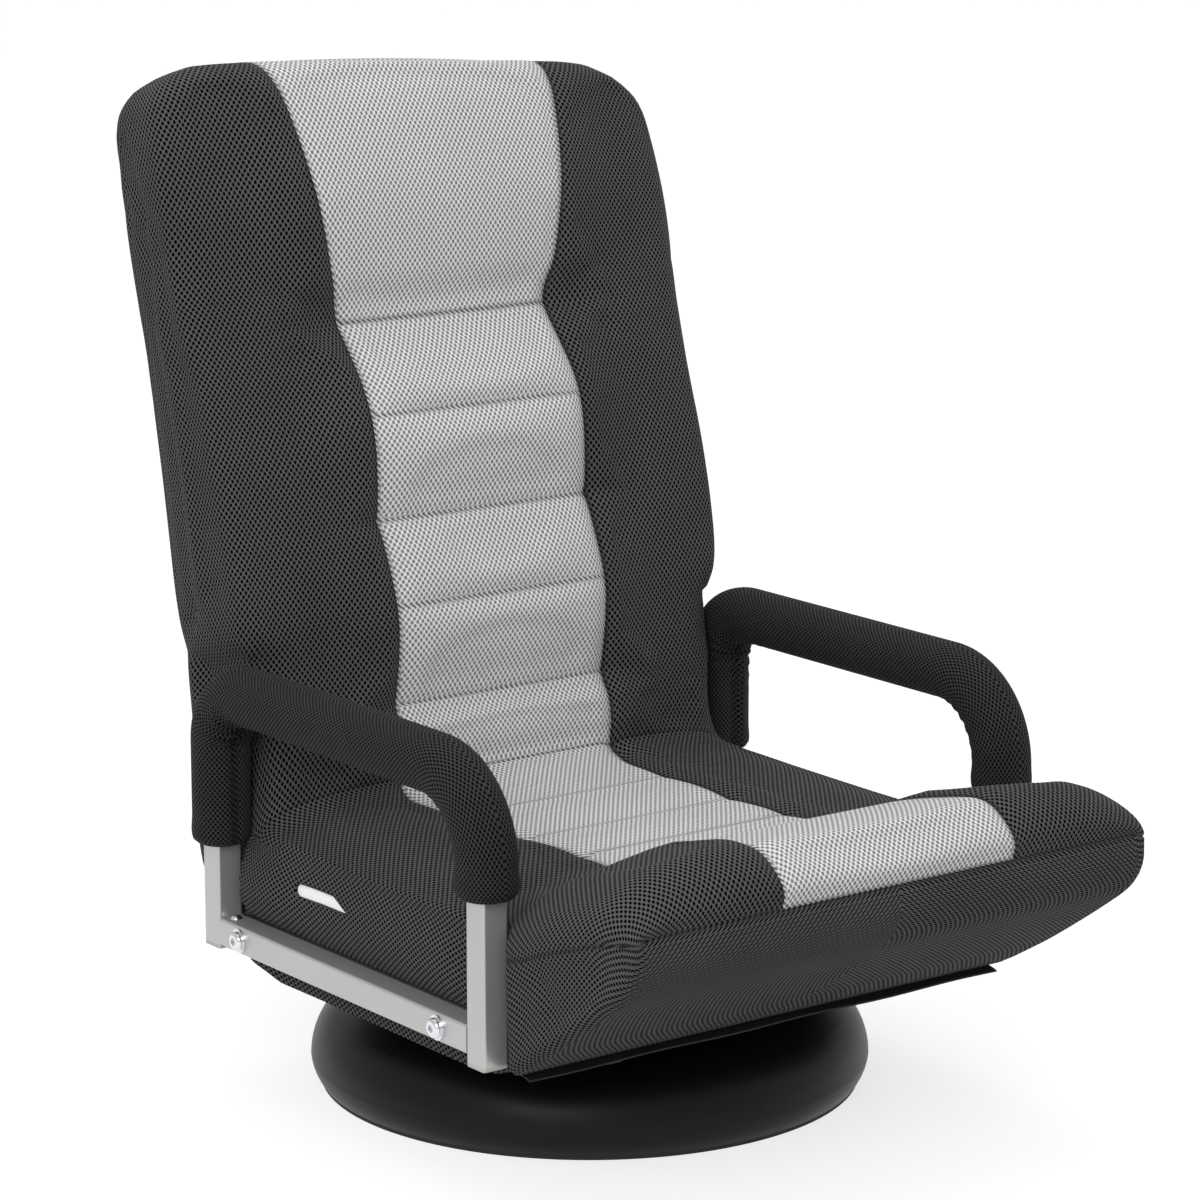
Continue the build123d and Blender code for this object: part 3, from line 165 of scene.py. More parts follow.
def spacer_mesh(name, rib, hole_colour_and_shade, worn, seam, sheen, fine=1.0):
    """Knitted mesh: ribs, holes partly in painted shade, slow tone changes, stitches on painted seam shade.
    """
    material, tree = new_material(name)
    cloth = add_node(tree, "ShaderNodeUVMap", {"uv_map": "cloth"})
    place = add_node(tree, "ShaderNodeSeparateXYZ", Vector=cloth.outputs["UV"])
    across, along = place.outputs["X"], place.outputs["Y"]

    def wave(distance, pitch):
        """Cosine of a distance along the cloth, one turn for each pitch in millimetres."""
        return calc(tree, "COSINE", calc(tree, "MULTIPLY", distance, 2 * pi / (pitch * MM)))

    lattice = calc(tree, "MULTIPLY", wave(across, fine * MESH_ACROSS), wave(along, fine * MESH_ALONG))
    hole = ramp(tree, lattice, *HOLE_EDGE)
    spot = add_node(tree, "ShaderNodeTexCoord")
    cloud = add_node(tree, "ShaderNodeTexNoise", Vector=spot.outputs["Object"], Scale=14.0, Detail=3.0)
    tone = mix(tree, cloud.outputs["Fac"], linear(rib), linear(worn))
    # painted shade: the holes take a dark colour, partly for the pile seen through them, partly for shade
    # inside them
    knit = mix(tree, hole, tone, linear(hole_colour_and_shade))
    # painted shade: on the seams the colour turns to stitches over a dark seam colour, the shade in the
    # groove
    thread = ramp(tree, wave(calc(tree, "ADD", across, along), STITCH), *STITCH_EDGE, "LINEAR")
    stitch = mix(tree, thread, linear(seam), linear(worn))
    sewn = add_node(tree, "ShaderNodeAttribute", {"attribute_name": "sewn"})
    depth = calc(tree, "SUBTRACT", 1.0, hole)
    bump = add_node(tree, "ShaderNodeBump", Height=depth, Strength=0.8, Distance=MESH_BUMP)
    shader = add_node(
        tree,
        "ShaderNodeBsdfPrincipled",
        Base_Color=mix(tree, ramp(tree, sewn.outputs["Fac"], *SEAM_EDGE), knit, stitch),
        Normal=bump.outputs["Normal"],
        Roughness=0.8,
        Specular_IOR_Level=calc(tree, "MULTIPLY", depth, MESH_SHINE),
        Sheen_Weight=sheen,
        Sheen_Roughness=0.45,
    )
    close_material(tree, shader)
    return material


# third colour: the holes, partly painted shade; fifth colour: painted shade on the seams, under the stitches
mesh_black = spacer_mesh("spacer_mesh_black", "#5C5C5D", "#040405", "#4B4B4C", "#0C0C0D", 0.03)
# painted shade: the arms get a darker copy of the black mesh, as their tops take less of the light; the finer
# pitch is the sleeves' own
mesh_arm_painted_shade = spacer_mesh("spacer_mesh_arm", "#38383A", "#080809", "#2E2E2F", "#0C0C0D", 0.03, fine=0.75)
mesh_grey = spacer_mesh("spacer_mesh_grey", "#EEEEED", "#86878A", "#E2E2E1", "#6C6D6F", 0.04)
print("spacer mesh holes are", MESH_ACROSS, "by", MESH_ALONG, "mm apart")

# %% [markdown]
# The cover of seat and back is one long padded body bent into an L: it starts at the seam of the front lip,
# runs back over the seat, folds up at the crease and ends at the top of the backrest. So it is modelled as
# rows along that L. Each row has an upper point, on the side one sits on, a lower point on the side below
# or behind, half-widths for the grey panel and the side seam, and radii. A smooth curve goes through the
# rows' values.

# %% Stations along the cover, from the front lip to the top of the back
HINGE = np.array([150.0, 172.0])
LEAN = radians(13.0)
UP = np.array([sin(LEAN), cos(LEAN)])
OUT = np.array([-cos(LEAN), sin(LEAN)])
GRID, LOWER_WEIGHT = 5.0, 0.6


def back_point(up, out):
    """(y, z) of a point on the leaning back: a height above the hinge and a distance in front of it."""
    return tuple(HINGE + up * UP + out * OUT)


# name, upper (y, z), lower (y, z), half-widths of the grey panel and of the side seam, share of the thickness
# at which that seam runs, radius at the foot, rise of the black side over the upper point, radius of its edge
stations = [
    ("nose", (-337, 216), (-337, 214), 98, 208, 0.50, 0.5, 0, 0.5),
    ("nose_round", (-338.5, 231), (-339, 196), 98, 216, 0.48, 7, -2, 12),
    ("nose_top", (-326, 246), (-328, 176), 98, 222, 0.50, 10, -2, 20),
    ("crest", (-302, 254), (-303, 156), 98, 225, 0.50, 12, -2, 20),
    ("lip", (-252, 244), (-255, 123), 98, 225, 0.54, 12, -3, 20),
    ("lip_low", (-222, 235), (-228, 106), 98, 223, 0.55, 11, -6, 20),
    ("post_face", (-203, 226.5), (-209, 95), 98, 220, 0.59, 8, -9, 20),
    ("front_post", (-195, 222), (-199, 91), 98, 211, 0.66, 5, -10, 20),
    ("valley", (-163, 205), (-165, 91), 96, 211, 0.79, 4, -8, 20),
    ("seat_seam_1", (-114, 200.5), (-114, 91), 90, 211.6, 0.83, 4, -1, 20),
    ("seat_seam_2", (-49, 198), (-49, 91), 91, 211.6, 0.86, 4, 2, 20),
    ("seat_seam_3", (26, 198.5), (26, 91), 93, 211.6, 0.86, 4, 2, 20),
    ("seat_rear", (74, 198), (80, 91), 95, 211.6, 0.86, 4, 2, 20),
    ("fold", (91, 202), (120, 95), 95, 211, 0.80, 6, 0, 20),
    ("crease", (98.5, 209), (152, 119), 93.5, 208, 0.70, 10, -3, 20),
    ("heel_low", (97.5, 225), (189, 137), 92.5, 205, 0.60, 18, -2, 22),
    ("heel", (100, 243), (204, 177), 92, 201, 0.55, 24, 0, 22),
    ("back_seam_5", back_point(78, 63), back_point(78, -49), 91.5, 199, 0.56, 32, 3, 22),
    ("over_arm", back_point(119, 73), back_point(119, -47), 91.5, 199.5, 0.56, 34, -4, 22),
    ("back_seam_4", back_point(148, 77), back_point(148, -46), 91.5, 214.5, 0.55, 39, -5, 20),
    ("back_seam_3", back_point(210, 73), back_point(210, -43), 91.5, 217, 0.55, 40, 1, 20),
    ("back_seam_2", back_point(284, 75), back_point(284, -39), 91.5, 217, 0.55, 39, -6, 20),
    ("back_seam_1", back_point(353, 54), back_point(353, -35), 91, 217, 0.55, 36, 9, 20),
    ("head_low", back_point(388, 64), back_point(388, -33), 98, 218.5, 0.55, 34, -3, 20),
    ("head", back_point(440, 70), back_point(440, -31), 107, 219, 0.55, 32, -7, 21),
    ("shoulder", back_point(500, 63), back_point(500, -28), 117, 216.5, 0.55, 29, -8, 22),
    ("top_round", back_point(522, 55), back_point(522, -25), 121, 204, 0.55, 24, -6, 22),
    ("top_edge", back_point(532, 46), back_point(532, -18), 123, 186, 0.55, 16, -5, 16),
    ("top_flat", back_point(536.5, 34), back_point(536.5, -4), 125, 173, 0.55, 8, -2, 8),
    ("ridge", back_point(538, 16), back_point(538, 14), 126, 166, 0.55, 0.5, 0, 0.5),
]
spot_of = {station[0]: i for i, station in enumerate(stations)}


def through(values, where):
    """Smooth curve through values at 0, 1, 2...: cubics whose slopes are the mean steps on either side."""
    values = np.asarray(values, float)
    slope = np.gradient(values, axis=0)
    left = np.clip(np.floor(where).astype(int), 0, len(values) - 2)
    t = (where - left).reshape((-1,) + (1,) * (values.ndim - 1))
    start, end = values[left], values[left + 1]
    bend = 2 * t**3 - 3 * t**2
    leaving, arriving = slope[left] * (t**3 - 2 * t**2 + t), slope[left + 1] * (t**3 - t**2)
    return start * (1 + bend) - end * bend + leaving + arriving


def length_along(points):
    """Distance of each point from the first, along the line through them."""
    return np.concatenate([[0], np.cumsum(np.linalg.norm(np.diff(points, axis=0), axis=1))])


upper_keys, lower_keys = (np.array([station[k] for station in stations], float) for k in (1, 2))
upper_steps, lower_steps = (
    np.linalg.norm(np.diff(keys, axis=0), axis=1) for keys in (upper_keys, lower_keys)
)
counts = np.ceil(np.maximum(upper_steps, LOWER_WEIGHT * lower_steps) / GRID).astype(int)
# rows lie twice as close beside the slit in the seat's wall
counts[[spot_of["seat_seam_2"], spot_of["seat_seam_3"]]] *= 2
row_at = np.concatenate([i + np.arange(n) / n for i, n in enumerate(counts)] + [[len(stations) - 1.0]])
upper = through(upper_keys, row_at)
lower = through(lower_keys, row_at)
panel_half, seam_half, seam_share, foot_round, side_rise, edge_round = (
    through([station[k] for station in stations], row_at) for k in range(3, 9)
)
rows = len(row_at)
first_row = dict(zip(spot_of, np.concatenate([[0], np.cumsum(counts)])))
thickness = np.linalg.norm(upper - lower, axis=1)
lift = (upper - lower) / thickness[:, None]
run = length_along(upper)
print(rows, "rows along a cover", round(run[-1]), "mm long")

# %% [markdown]
# Across each row the cover has a grey panel in the middle and a black side that swells and then goes over
# the edge down to the side seam. On the soft seat and on the lip that roll is a quarter of a superellipse,
# fuller than a circle. On the back, where firm foam stands behind the cloth, it is a flat face with a rounded
# edge; firm foam stands behind the lip too. The sewn channels are arches between seams: a sine raised to a
# power under one, steep at the seam and flat on top.


# %% Points of the cover
PANEL_COLUMNS, SIDE_COLUMNS, WALL_COLUMNS = 19, 28, 22
SOFT_ROLL = 2.6
CHANNEL_POWER = 0.72
SEAM_DIP, SEAM_WIDTH = 4.0, 6.0
SIDE_SWELL = 4.0
SEAM_GROOVE = 1.6

# from seam, to seam, rise along the middle of the panel, rise along its two edges
channels = [
    ("valley", "seat_seam_1", 3.0, 2.0),
    ("seat_seam_1", "seat_seam_2", 4.5, 3.5),
    ("seat_seam_2", "seat_seam_3", 4.5, 3.5),
    ("seat_seam_3", "crease", 4.0, 1.0),
    ("crease", "back_seam_5", 6.0, 4.0),
    ("back_seam_5", "back_seam_4", 7.0, 0.0),
    ("back_seam_4", "back_seam_3", 7.0, 0.0),
    ("back_seam_3", "back_seam_2", 8.0, 0.0),
    ("back_seam_2", "back_seam_1", 9.0, 0.0),
]
# the deep seams gather the black sides too, so the edges arch from one deep seam to the next
gathers = [
    ("back_seam_5", "back_seam_3", 7.0),
    ("back_seam_3", "back_seam_1", 9.0),
    ("back_seam_1", "top_edge", 6.0),
]


def arch_between(start, end, rise):
    """Arch over the rows from one station to another: a sine of the share of the way, raised to a power."""
    inside = slice(first_row[start], first_row[end] + 1)
    share = (run[inside] - run[inside][0]) / (run[inside][-1] - run[inside][0])
    arch = np.zeros(rows)
    arch[inside] = rise * np.sin(pi * share) ** CHANNEL_POWER
    return arch


gather_arch = sum(arch_between(*gather) for gather in gathers)
middle_arch = sum(arch_between(start, end, rise) for start, end, rise, _ in channels) + gather_arch
edge_arch = sum(arch_between(start, end, rise) for start, end, _, rise in channels) + gather_arch


def roll(count, wide, deep, power):
    """A superellipse quarter from (0, 0) to (1, 1), as count even steps of its length for a given size."""
    turn = np.linspace(0, pi / 2, 400)
    x = np.sin(turn) ** (2 / power)
    fall = 1 - np.cos(turn) ** (2 / power)
    length = np.concatenate([[0], np.cumsum(np.hypot(np.diff(x) * wide, np.diff(fall) * deep))])
    even = np.linspace(0, length[-1], count + 1)
    return np.interp(even, length, x), np.interp(even, length, fall)


def corner(count, wide, deep, radius):
    """A flat run, a quarter circle and a straight fall, in count even steps: how far out and how far down."""
    step = np.linspace(0, 1, count + 1)[None, :] * (wide + deep - (2 - pi / 2) * radius)
    turned = np.clip((step - wide + radius) / radius, 0, pi / 2)
    fallen = np.maximum(step - wide + radius - radius * pi / 2, 0)
    return np.minimum(step, wide - radius) + radius * np.sin(turned), radius * (1 - np.cos(turned)) + fallen


def column(values):
    """Row values as a column, so that they spread over the columns of the grid."""
    return np.asarray(values)[:, None]


def by_station(values):
    """Row values from some named stations, straight between them."""
    names = list(values)
    return np.interp(np.arange(rows), [first_row[n] for n in names], [values[n] for n in names])


def smooth(share):
    """A share cut to 0...1, with level ends."""
    share = np.clip(share, 0, 1)
    return share**2 * (3 - 2 * share)


firm = column(by_station({"seat_rear": 0.0, "crease": 0.2, "heel": 0.7, "back_seam_5": 1.0}))
wide = column(seam_half - panel_half)
deep = column((1 - seam_share) * thickness + side_rise)
edge = np.minimum(column(edge_round), 0.9 * np.minimum(wide, deep))
soft_x, soft_fall = roll(SIDE_COLUMNS, 120, 45, SOFT_ROLL)
firm_x, firm_fall = corner(SIDE_COLUMNS, wide, deep, edge)
from_seam = ((1 - firm) * wide * soft_x + firm * firm_x)[:, 1:]
side_fall = ((1 - firm) * deep * soft_fall + firm * firm_fall)[:, 1:]

across = np.linspace(0, 1, PANEL_COLUMNS + 1)[None, :]
panel_x = column(panel_half) * across
full = np.clip(thickness / 60, 0, 1)
panel_dip = column(SEAM_DIP * full) * np.exp(-(((column(panel_half) - panel_x) / SEAM_WIDTH) ** 2))
panel_out = column(edge_arch) + column(middle_arch - edge_arch) * (1 - across**4) - panel_dip

black_x = column(panel_half) + from_seam
ease = smooth(from_seam / 60)
black_out = (
    column(edge_arch) * (1 - ease)
    + column(side_rise) * ease
    + column(SIDE_SWELL * full) * np.sin(pi * np.clip(1.15 * from_seam / wide, 0, 1))
    - column(SEAM_DIP * full) * np.exp(-((from_seam / SEAM_WIDTH) ** 2))
    - side_fall
)
black_x[:, -1] -= SEAM_GROOVE * by_station({"nose": 1.0, "post_face": 1.0, "front_post": 0.0})
top_x = np.hstack([panel_x, black_x])
top_out = np.hstack([panel_out, black_out])
top_count = top_x.shape[1] - 1
print("half of the top has", top_count + 1, "columns")

# %% [markdown]
# The wall under the side seam bulges a little between the two arm posts, where nothing holds it, and stays
# flat where the posts and the lower rail press on it. Below the rail and behind the arm it is free again. A
# slit is left open in it above the rail: two columns of the grid part there and their faces are left out.

# %% Walls, underside and the closed grid
WALL_BULGE, WALL_REAR_BULGE = 6.0, 13.0
RAIL_TOP, RAIL_FOOT = 124.0, 104.0
FRONT_POST_Y, REAR_POST_Y = -176.0, 125.5
UNDER_RAIL = 5.0
REAR_HALF, REAR_TAPER = 211.0, 3.0
HEM_SAG, HEM_FRONT_Y, HEM_REAR_Y, HEM_IN_X = 6.0, -190.0, 95.0, 172.0
ARM_BACK_Y, ARM_BACK_SLOPE = 159.0, 0.22
SLIT_Y, SLIT_HALF = 19.5, 32.5
SLIT_Z, SLIT_OPEN, SLIT_SHUT = 160.0, 4.8, 0.4
SLIT_ROUND, SLIT_TAPER, SLIT_REACH = 0.15, 0.6, 12.0

wall_height = column(seam_share * thickness)
foot = np.minimum(column(foot_round), 0.9 * wall_height)
wall_fall, wall_in = corner(WALL_COLUMNS, wall_height, foot, foot)
taper = column(by_station({"heel": 0.0, "back_seam_4": REAR_TAPER, "back_seam_1": REAR_TAPER, "head": 0.0}))
wall_half = column(seam_half) - wall_in - taper * wall_fall / wall_height
wall_share = column(seam_share) * (1 - wall_fall / wall_height)


def between(share):
    """y and z at a share of the way from each row's lower point to its upper one."""
    return [column(lower[:, k]) + share * column(upper[:, k] - lower[:, k]) for k in (0, 1)]


wall_y, wall_z = between(wall_share)
on_seat = np.arange(rows) < first_row["crease"]
slit_row = int(np.argmin(np.where(on_seat, np.abs(upper[:, 0] - SLIT_Y), np.inf)))
slit_column = int(np.sum(wall_z[slit_row] > SLIT_Z))
slit_place = (wall_y[:, slit_column] - SLIT_Y) / SLIT_HALF
in_slit = (np.abs(slit_place) < 1) & on_seat
rear_round = np.sqrt(1 - np.clip((slit_place - (1 - SLIT_ROUND)) / SLIT_ROUND, 0, 1) ** 2)
half_open = np.maximum(SLIT_OPEN * np.clip((1 + slit_place) / SLIT_TAPER, 0, 1) * rear_round, SLIT_SHUT)
slit_sink = np.where(slit_place < 0, SLIT_OPEN - half_open, 0)
edge_above, edge_below = wall_z[:, slit_column - 1], wall_z[:, slit_column]
slit_middle, half_gap = (edge_above + edge_below) / 2, (edge_above - edge_below) / 2
near_slit = np.exp(-(((wall_z - column(slit_middle)) / SLIT_REACH) ** 2)) * column(in_slit)
to_slit = column(SLIT_Z - slit_sink * in_slit - slit_middle)
parting = to_slit + np.sign(wall_z - column(slit_middle)) * column(half_open - half_gap)
wall_share = wall_share + near_slit * parting / column(upper[:, 1] - lower[:, 1])
wall_y, wall_z = between(wall_share)

free = smooth((wall_y - FRONT_POST_Y) / 60) * smooth((REAR_POST_Y - wall_y) / 6)
bulge = WALL_BULGE + (WALL_REAR_BULGE - WALL_BULGE) * smooth((wall_y - 20) / 90)
height = np.clip((wall_z - RAIL_TOP) / (wall_z[:, :1] - RAIL_TOP), 0, 1)
wall_half = wall_half + bulge * free * np.sin(pi * height**0.85) ** 0.7
under_rail = np.exp(-(((wall_z - (RAIL_FOOT - 10)) / 6) ** 2)) * smooth((wall_y - FRONT_POST_Y) / 20)
wall_half = wall_half + UNDER_RAIL * under_rail * smooth((REAR_POST_Y - wall_y) / 10)
clear_of_arm = ARM_BACK_Y + ARM_BACK_SLOPE * np.maximum(wall_z - HINGE[1], 0)
low_back = (np.arange(rows) > first_row["crease"]) & (np.arange(rows) < first_row["back_seam_2"])
behind_arm = smooth((wall_y - clear_of_arm) / 14) * column(low_back)
wall_half = wall_half + behind_arm * column(np.maximum(REAR_HALF - seam_half, 0))
foot_half = wall_half[:, -1]
print("the slit parts columns", slit_column - 1, "and", slit_column, "over", int(in_slit.sum()), "rows")

under_x = (column(foot_half) * (top_x / column(seam_half)))[:, -2::-1]
half_loop_x = np.hstack([top_x, wall_half[:, 1:], under_x])
# between the posts the hem of the wall hangs a little below the rail
hem = column(smooth((upper[:, 0] - HEM_FRONT_Y) / 20) * smooth((HEM_REAR_Y - upper[:, 0]) / 30) * on_seat)
wall_hem = hem * smooth((RAIL_FOOT - wall_z[:, 1:]) / (RAIL_FOOT - lower[:, 1].min()))
under_hem = hem * smooth((under_x - HEM_IN_X) / 32)
offset = np.hstack([top_out, -HEM_SAG * wall_hem, -HEM_SAG * under_hem])
base_share = np.hstack([np.ones_like(top_x), wall_share[:, 1:], np.zeros_like(under_x)])
half_y, half_z = (line + offset * column(lift[:, k]) for k, line in enumerate(between(base_share)))

left_half = np.stack([half_loop_x, half_y, half_z], axis=2)
right_half = left_half[:, ::-1] * np.array([-1.0, 1.0, 1.0])
grid = np.concatenate([right_half, left_half[:, 1:]], axis=1)

# the head of the back is crowned and hangs a little to one side
TOP_RISE, TOP_FALL, TOP_SKEW = 7.0, 11.0, 11.0
HEAD_START, HEAD_LENGTH = 380.0, 150.0
above_hinge = (grid[:, :, 1] - HINGE[0]) * UP[0] + (grid[:, :, 2] - HINGE[1]) * UP[1]
aside = grid[:, :, 0] / seam_half.max()
head = smooth((above_hinge - HEAD_START) / HEAD_LENGTH)
grid[:, :, 2] += head * (TOP_RISE - TOP_FALL * aside**2 - TOP_SKEW * aside)
columns = grid.shape[1]
middle = left_half.shape[1] - 1
print("cover grid", grid.shape[:2])

# %% [markdown]
# The grid is closed at the middle of the underside, and at the front seam and the top ridge, where upper
# and lower columns meet. Points that coincide are welded by their rounded place, so the body is one closed
# mesh. The UV map is a pair of distances in metres: along the rows and across the columns, measured on the
# grid itself. The underside is cut from a cloth of its own, so its distances along the rows follow the
# lower points. The side walls go a longer way round the heel, so there they gain length, by a whole number
# of holes.


# %% Weld the grid and lay out the cloth
def ends_closed(points):
    """Folds the first and last rows shut: each lower point takes the place of the upper point above it."""
    closed = points.copy()
    for row in (0, -1):
        for side in (1, -1):
            edge = middle + side * top_count
            wall_end = edge + side * WALL_COLUMNS
            closed[row, edge : wall_end + side : side] = points[row, edge]
            last = columns - 1 if side == 1 else 0
            closed[row, wall_end : last : side] = points[row, edge : middle : -side]
            closed[row, last] = points[row, middle]
    return closed


def grid_quads(ids):
    """The four corners of each cell of a grid of point numbers."""
    return np.stack([ids[:-1, :-1], ids[1:, :-1], ids[1:, 1:], ids[:-1, 1:]], axis=2)


grid = ends_closed(grid)
nodes = grid.reshape(-1, 3)
_, first_node, weld = np.unique(np.round(nodes, 3), axis=0, return_index=True, return_inverse=True)
weld = weld.ravel()
node_id = np.arange(rows * columns).reshape(rows, columns)
quads = grid_quads(node_id)

step_across = np.linalg.norm(np.diff(grid, axis=1), axis=2)
across_cloth = np.concatenate([np.zeros((rows, 1)), np.cumsum(step_across, axis=1)], axis=1)
across_cloth -= across_cloth[:, middle : middle + 1]


def lay_cloth(along):
    """UV pairs in metres: the distance across the cloth at each point, and one along it for each row."""
    return np.stack([across_cloth, np.repeat(column(along), columns, axis=1)], axis=2).reshape(-1, 2) * MM


heel_start, heel_end = first_row["seat_rear"], first_row["back_seam_4"]
wall_longer = length_along(np.stack([wall_y, wall_z], axis=2)[:, WALL_COLUMNS // 2]) - run
wall_longer -= wall_longer[heel_start]
heel_longer = wall_longer[heel_end]
round_heel = np.clip(wall_longer / heel_longer, 0, 1)
round_heel[:heel_start] = 0
round_heel[heel_end:] = 1
cloth_uv = lay_cloth(run)
wall_uv = lay_cloth(run + MESH_ALONG * round(heel_longer / MESH_ALONG) * round_heel)
under_uv = lay_cloth(length_along(lower))
print("the side walls are", round(float(heel_longer)), "mm longer round the heel than the face")


def without_repeats(faces):
    """Faces as lists of nodes, where corners that are welded together count once and slivers are left out."""
    welded = weld[faces]
    plain = np.all(np.diff(np.sort(welded, axis=1), axis=1) > 0, axis=1)
    kept = faces[plain].tolist()
    for face, ids in zip(faces[~plain].tolist(), welded[~plain].tolist()):
        corners = [n for k, n in enumerate(face) if ids[k] not in ids[:k]]
        if len(corners) > 2:
            kept.append(corners)
    return kept


welded_faces = [weld[f].tolist() for f in without_repeats(quads.reshape(-1, 4))]
print(len(first_node), "points and", len(welded_faces), "faces in the closed cover")

# %% [markdown]
# Padded cloth gets its last irregular fullness from a short cloth simulation with air pressure inside. The
# seams, the underside and the walls near the frame are pinned, as sewing and stuffing hold them, and the
# panels between swell. The mesh is thick and bends little. Each point may move only so far.


# %% Stuff the cover with a cloth simulation
PRESSURE, BENDING, MOST_MOVE, FRAMES = 4.0, 6.0, 3.0, 14


def inflate(points, faces, pinned):
    """Runs pressure cloth on a closed mesh and returns its points, none moved further than it may."""
    mesh = bpy.data.meshes.new("stuffing")
    mesh.from_pydata((points * MM).tolist(), [], faces)
    body = show("stuffing", mesh)
    scene = bpy.context.scene
    sewn = body.vertex_groups.new(name="sewn")
    sewn.add(pinned.tolist(), 1.0, "REPLACE")
    cloth = body.modifiers.new("stuffing", "CLOTH")
    cloth.settings.quality = 5
    cloth.settings.vertex_group_mass = "sewn"
    cloth.settings.use_pressure = True
    cloth.settings.uniform_pressure_force = PRESSURE
    cloth.settings.bending_stiffness = BENDING
    cloth.settings.effector_weights.gravity = 0.0
    cloth.collision_settings.use_collision = False
    cloth.point_cache.frame_end = FRAMES
    for moment in range(1, FRAMES + 1):
        scene.frame_set(moment)
    settled = body.evaluated_get(bpy.context.evaluated_depsgraph_get())
    moved = np.empty(len(points) * 3, np.float32)
    settled.data.vertices.foreach_get("co", moved)
    scene.frame_set(1)
    bpy.data.objects.remove(body)
    shift = moved.reshape(-1, 3) / MM - points
    far = np.maximum(np.linalg.norm(shift, axis=1, keepdims=True), 1e-6)
    return points + shift * np.minimum(1, MOST_MOVE / far)


row_id, column_id = np.indices((rows, columns))
column_id = np.abs(column_id - middle)
seam_rows = [first_row[channel[0]] for channel in channels] + [first_row["back_seam_1"], 0, rows - 1]
on_panel = column_id <= PANEL_COLUMNS
sewn_here = (
    (column_id >= top_count + WALL_COLUMNS - 4)
    | (column_id == top_count)
    | (column_id == PANEL_COLUMNS)
    | (np.isin(row_id, seam_rows) & on_panel)
    | (row_id == 0)
    | (row_id == rows - 1)
)
flat_cloth = nodes[first_node]
pinned = np.unique(weld[np.flatnonzero(sewn_here.ravel())])
stuffed = inflate(flat_cloth, welded_faces, pinned)
print("stuffing moved the cloth by up to", round(float(np.abs(stuffed - flat_cloth).max()), 1), "mm")

# %% [markdown]
# The closed body is then cut along its seams into the pieces that a maker would sew: a black cover and grey
# panels for the seat and for the back. Each piece is a skin as thick as the spacer mesh, closed all round,
# made by pushing a copy of the surface in along its normals and joining the two along the cut edges.


# %% Cut the cover into sewn panels
SKIN = 3.0
# painted shade: how far the seam lines, and the row just behind each seat seam, turn to the dark seam colour
SEAM_SHADE, PAINTED_SHADE_BEHIND_SEAM = 0.8, 0.45


def point_normals(points, faces):
    """Unit normals at the points of a closed mesh, and whether its faces look outward."""
    mesh = bpy.data.meshes.new("normals")
    mesh.from_pydata(points.tolist(), [], faces)
    normals = np.empty(len(points) * 3, np.float32)
    mesh.vertices.foreach_get("normal", normals)
    corners = np.array([f[:3] for f in faces])
    a, b, c = (points[corners[:, k]] for k in range(3))
    outward = np.einsum("ij,ij->", a, np.cross(b, c)) > 0
    bpy.data.meshes.remove(mesh)
    return normals.reshape(-1, 3), outward


def place_mesh(name, points, faces, corner_uv, sewn, material):
    """A smooth mesh object from points in millimetres, with a UV pair at each corner and a seam shade."""
    mesh = bpy.data.meshes.new(name)
    mesh.from_pydata((points * MM).tolist(), [], faces)
    mesh.uv_layers.new(name="cloth").data.foreach_set("uv", np.asarray(corner_uv, np.float32).ravel())
    # the sewn value turns the spacer mesh to stitches over painted seam shade
    shade = mesh.attributes.new("sewn", "FLOAT", "POINT")
    shade.data.foreach_set("value", np.asarray(sewn, np.float32))
    mesh.shade_smooth()
    mesh.materials.append(material)
    return show(name, mesh)


cover_normals, faces_outward = point_normals(stuffed, welded_faces)
if not faces_outward:
    cover_normals = -cover_normals
# painted shade: seam lines and the row just behind each seat seam take the dark seam colour
seam_shade = np.zeros(len(stuffed))
lip_seam = ((column_id == top_count) & (row_id <= first_row["post_face"])) | (row_id == 0)
seam_nodes = (column_id == PANEL_COLUMNS) | (np.isin(row_id, seam_rows) & on_panel) | lip_seam
seam_shade[weld[np.flatnonzero(seam_nodes.ravel())]] = SEAM_SHADE
seat_seams = [first_row["seat_seam_" + number] + 1 for number in "123"]
painted_shade_behind_seam = np.isin(row_id, seat_seams) & (column_id < PANEL_COLUMNS)
seam_shade[weld[np.flatnonzero(painted_shade_behind_seam.ravel())]] = PAINTED_SHADE_BEHIND_SEAM


def on_back(x, up, out):
    """A point of the leaning back in the frame's axes."""
    y, z = back_point(up, out)
    return np.array([x, y, z])


# creases where the deep seams pull the black sides in, and folds over the edges: from, to, width, depth
creases = [
    (on_back(side * 96, up, 64), on_back(side * reach, up + rise, 66), 7.0, 2.6)
    for side in (1, -1)
    for up in (353, 210)
    for reach, rise in ((142, 26), (150, 0), (140, -24))
]
creases += [
    (on_back(-216, 478, -8), on_back(-206, 424, 40), 9.0, 3.4),
    (on_back(-217, 452, -14), on_back(-210, 404, 26), 8.0, 2.4),
    (on_back(-214, 150, -20), on_back(-209, 176, 34), 8.0, 3.0),
]
creases += [(np.array([s * 221.0, -262, 150]), np.array([s * 219.0, -232, 178]), 9.0, 2.4) for s in (-1, 1)]
pressed = np.zeros(len(stuffed))
for start, end, width, depth in creases:
    length = np.linalg.norm(end - start)
    way_along = (end - start) / length
    from_middle = stuffed - (start + end) / 2
    along_crease = from_middle @ way_along
    off_crease = np.linalg.norm(from_middle - along_crease[:, None] * way_along, axis=1)
    fade = np.exp(-((along_crease / (0.6 * length)) ** 4))
    pressed += depth * fade * np.exp(-((off_crease / width) ** 2))
stuffed = stuffed - pressed[:, None] * cover_normals
print(len(creases), "creases, the deepest", round(float(pressed.max()), 1), "mm")

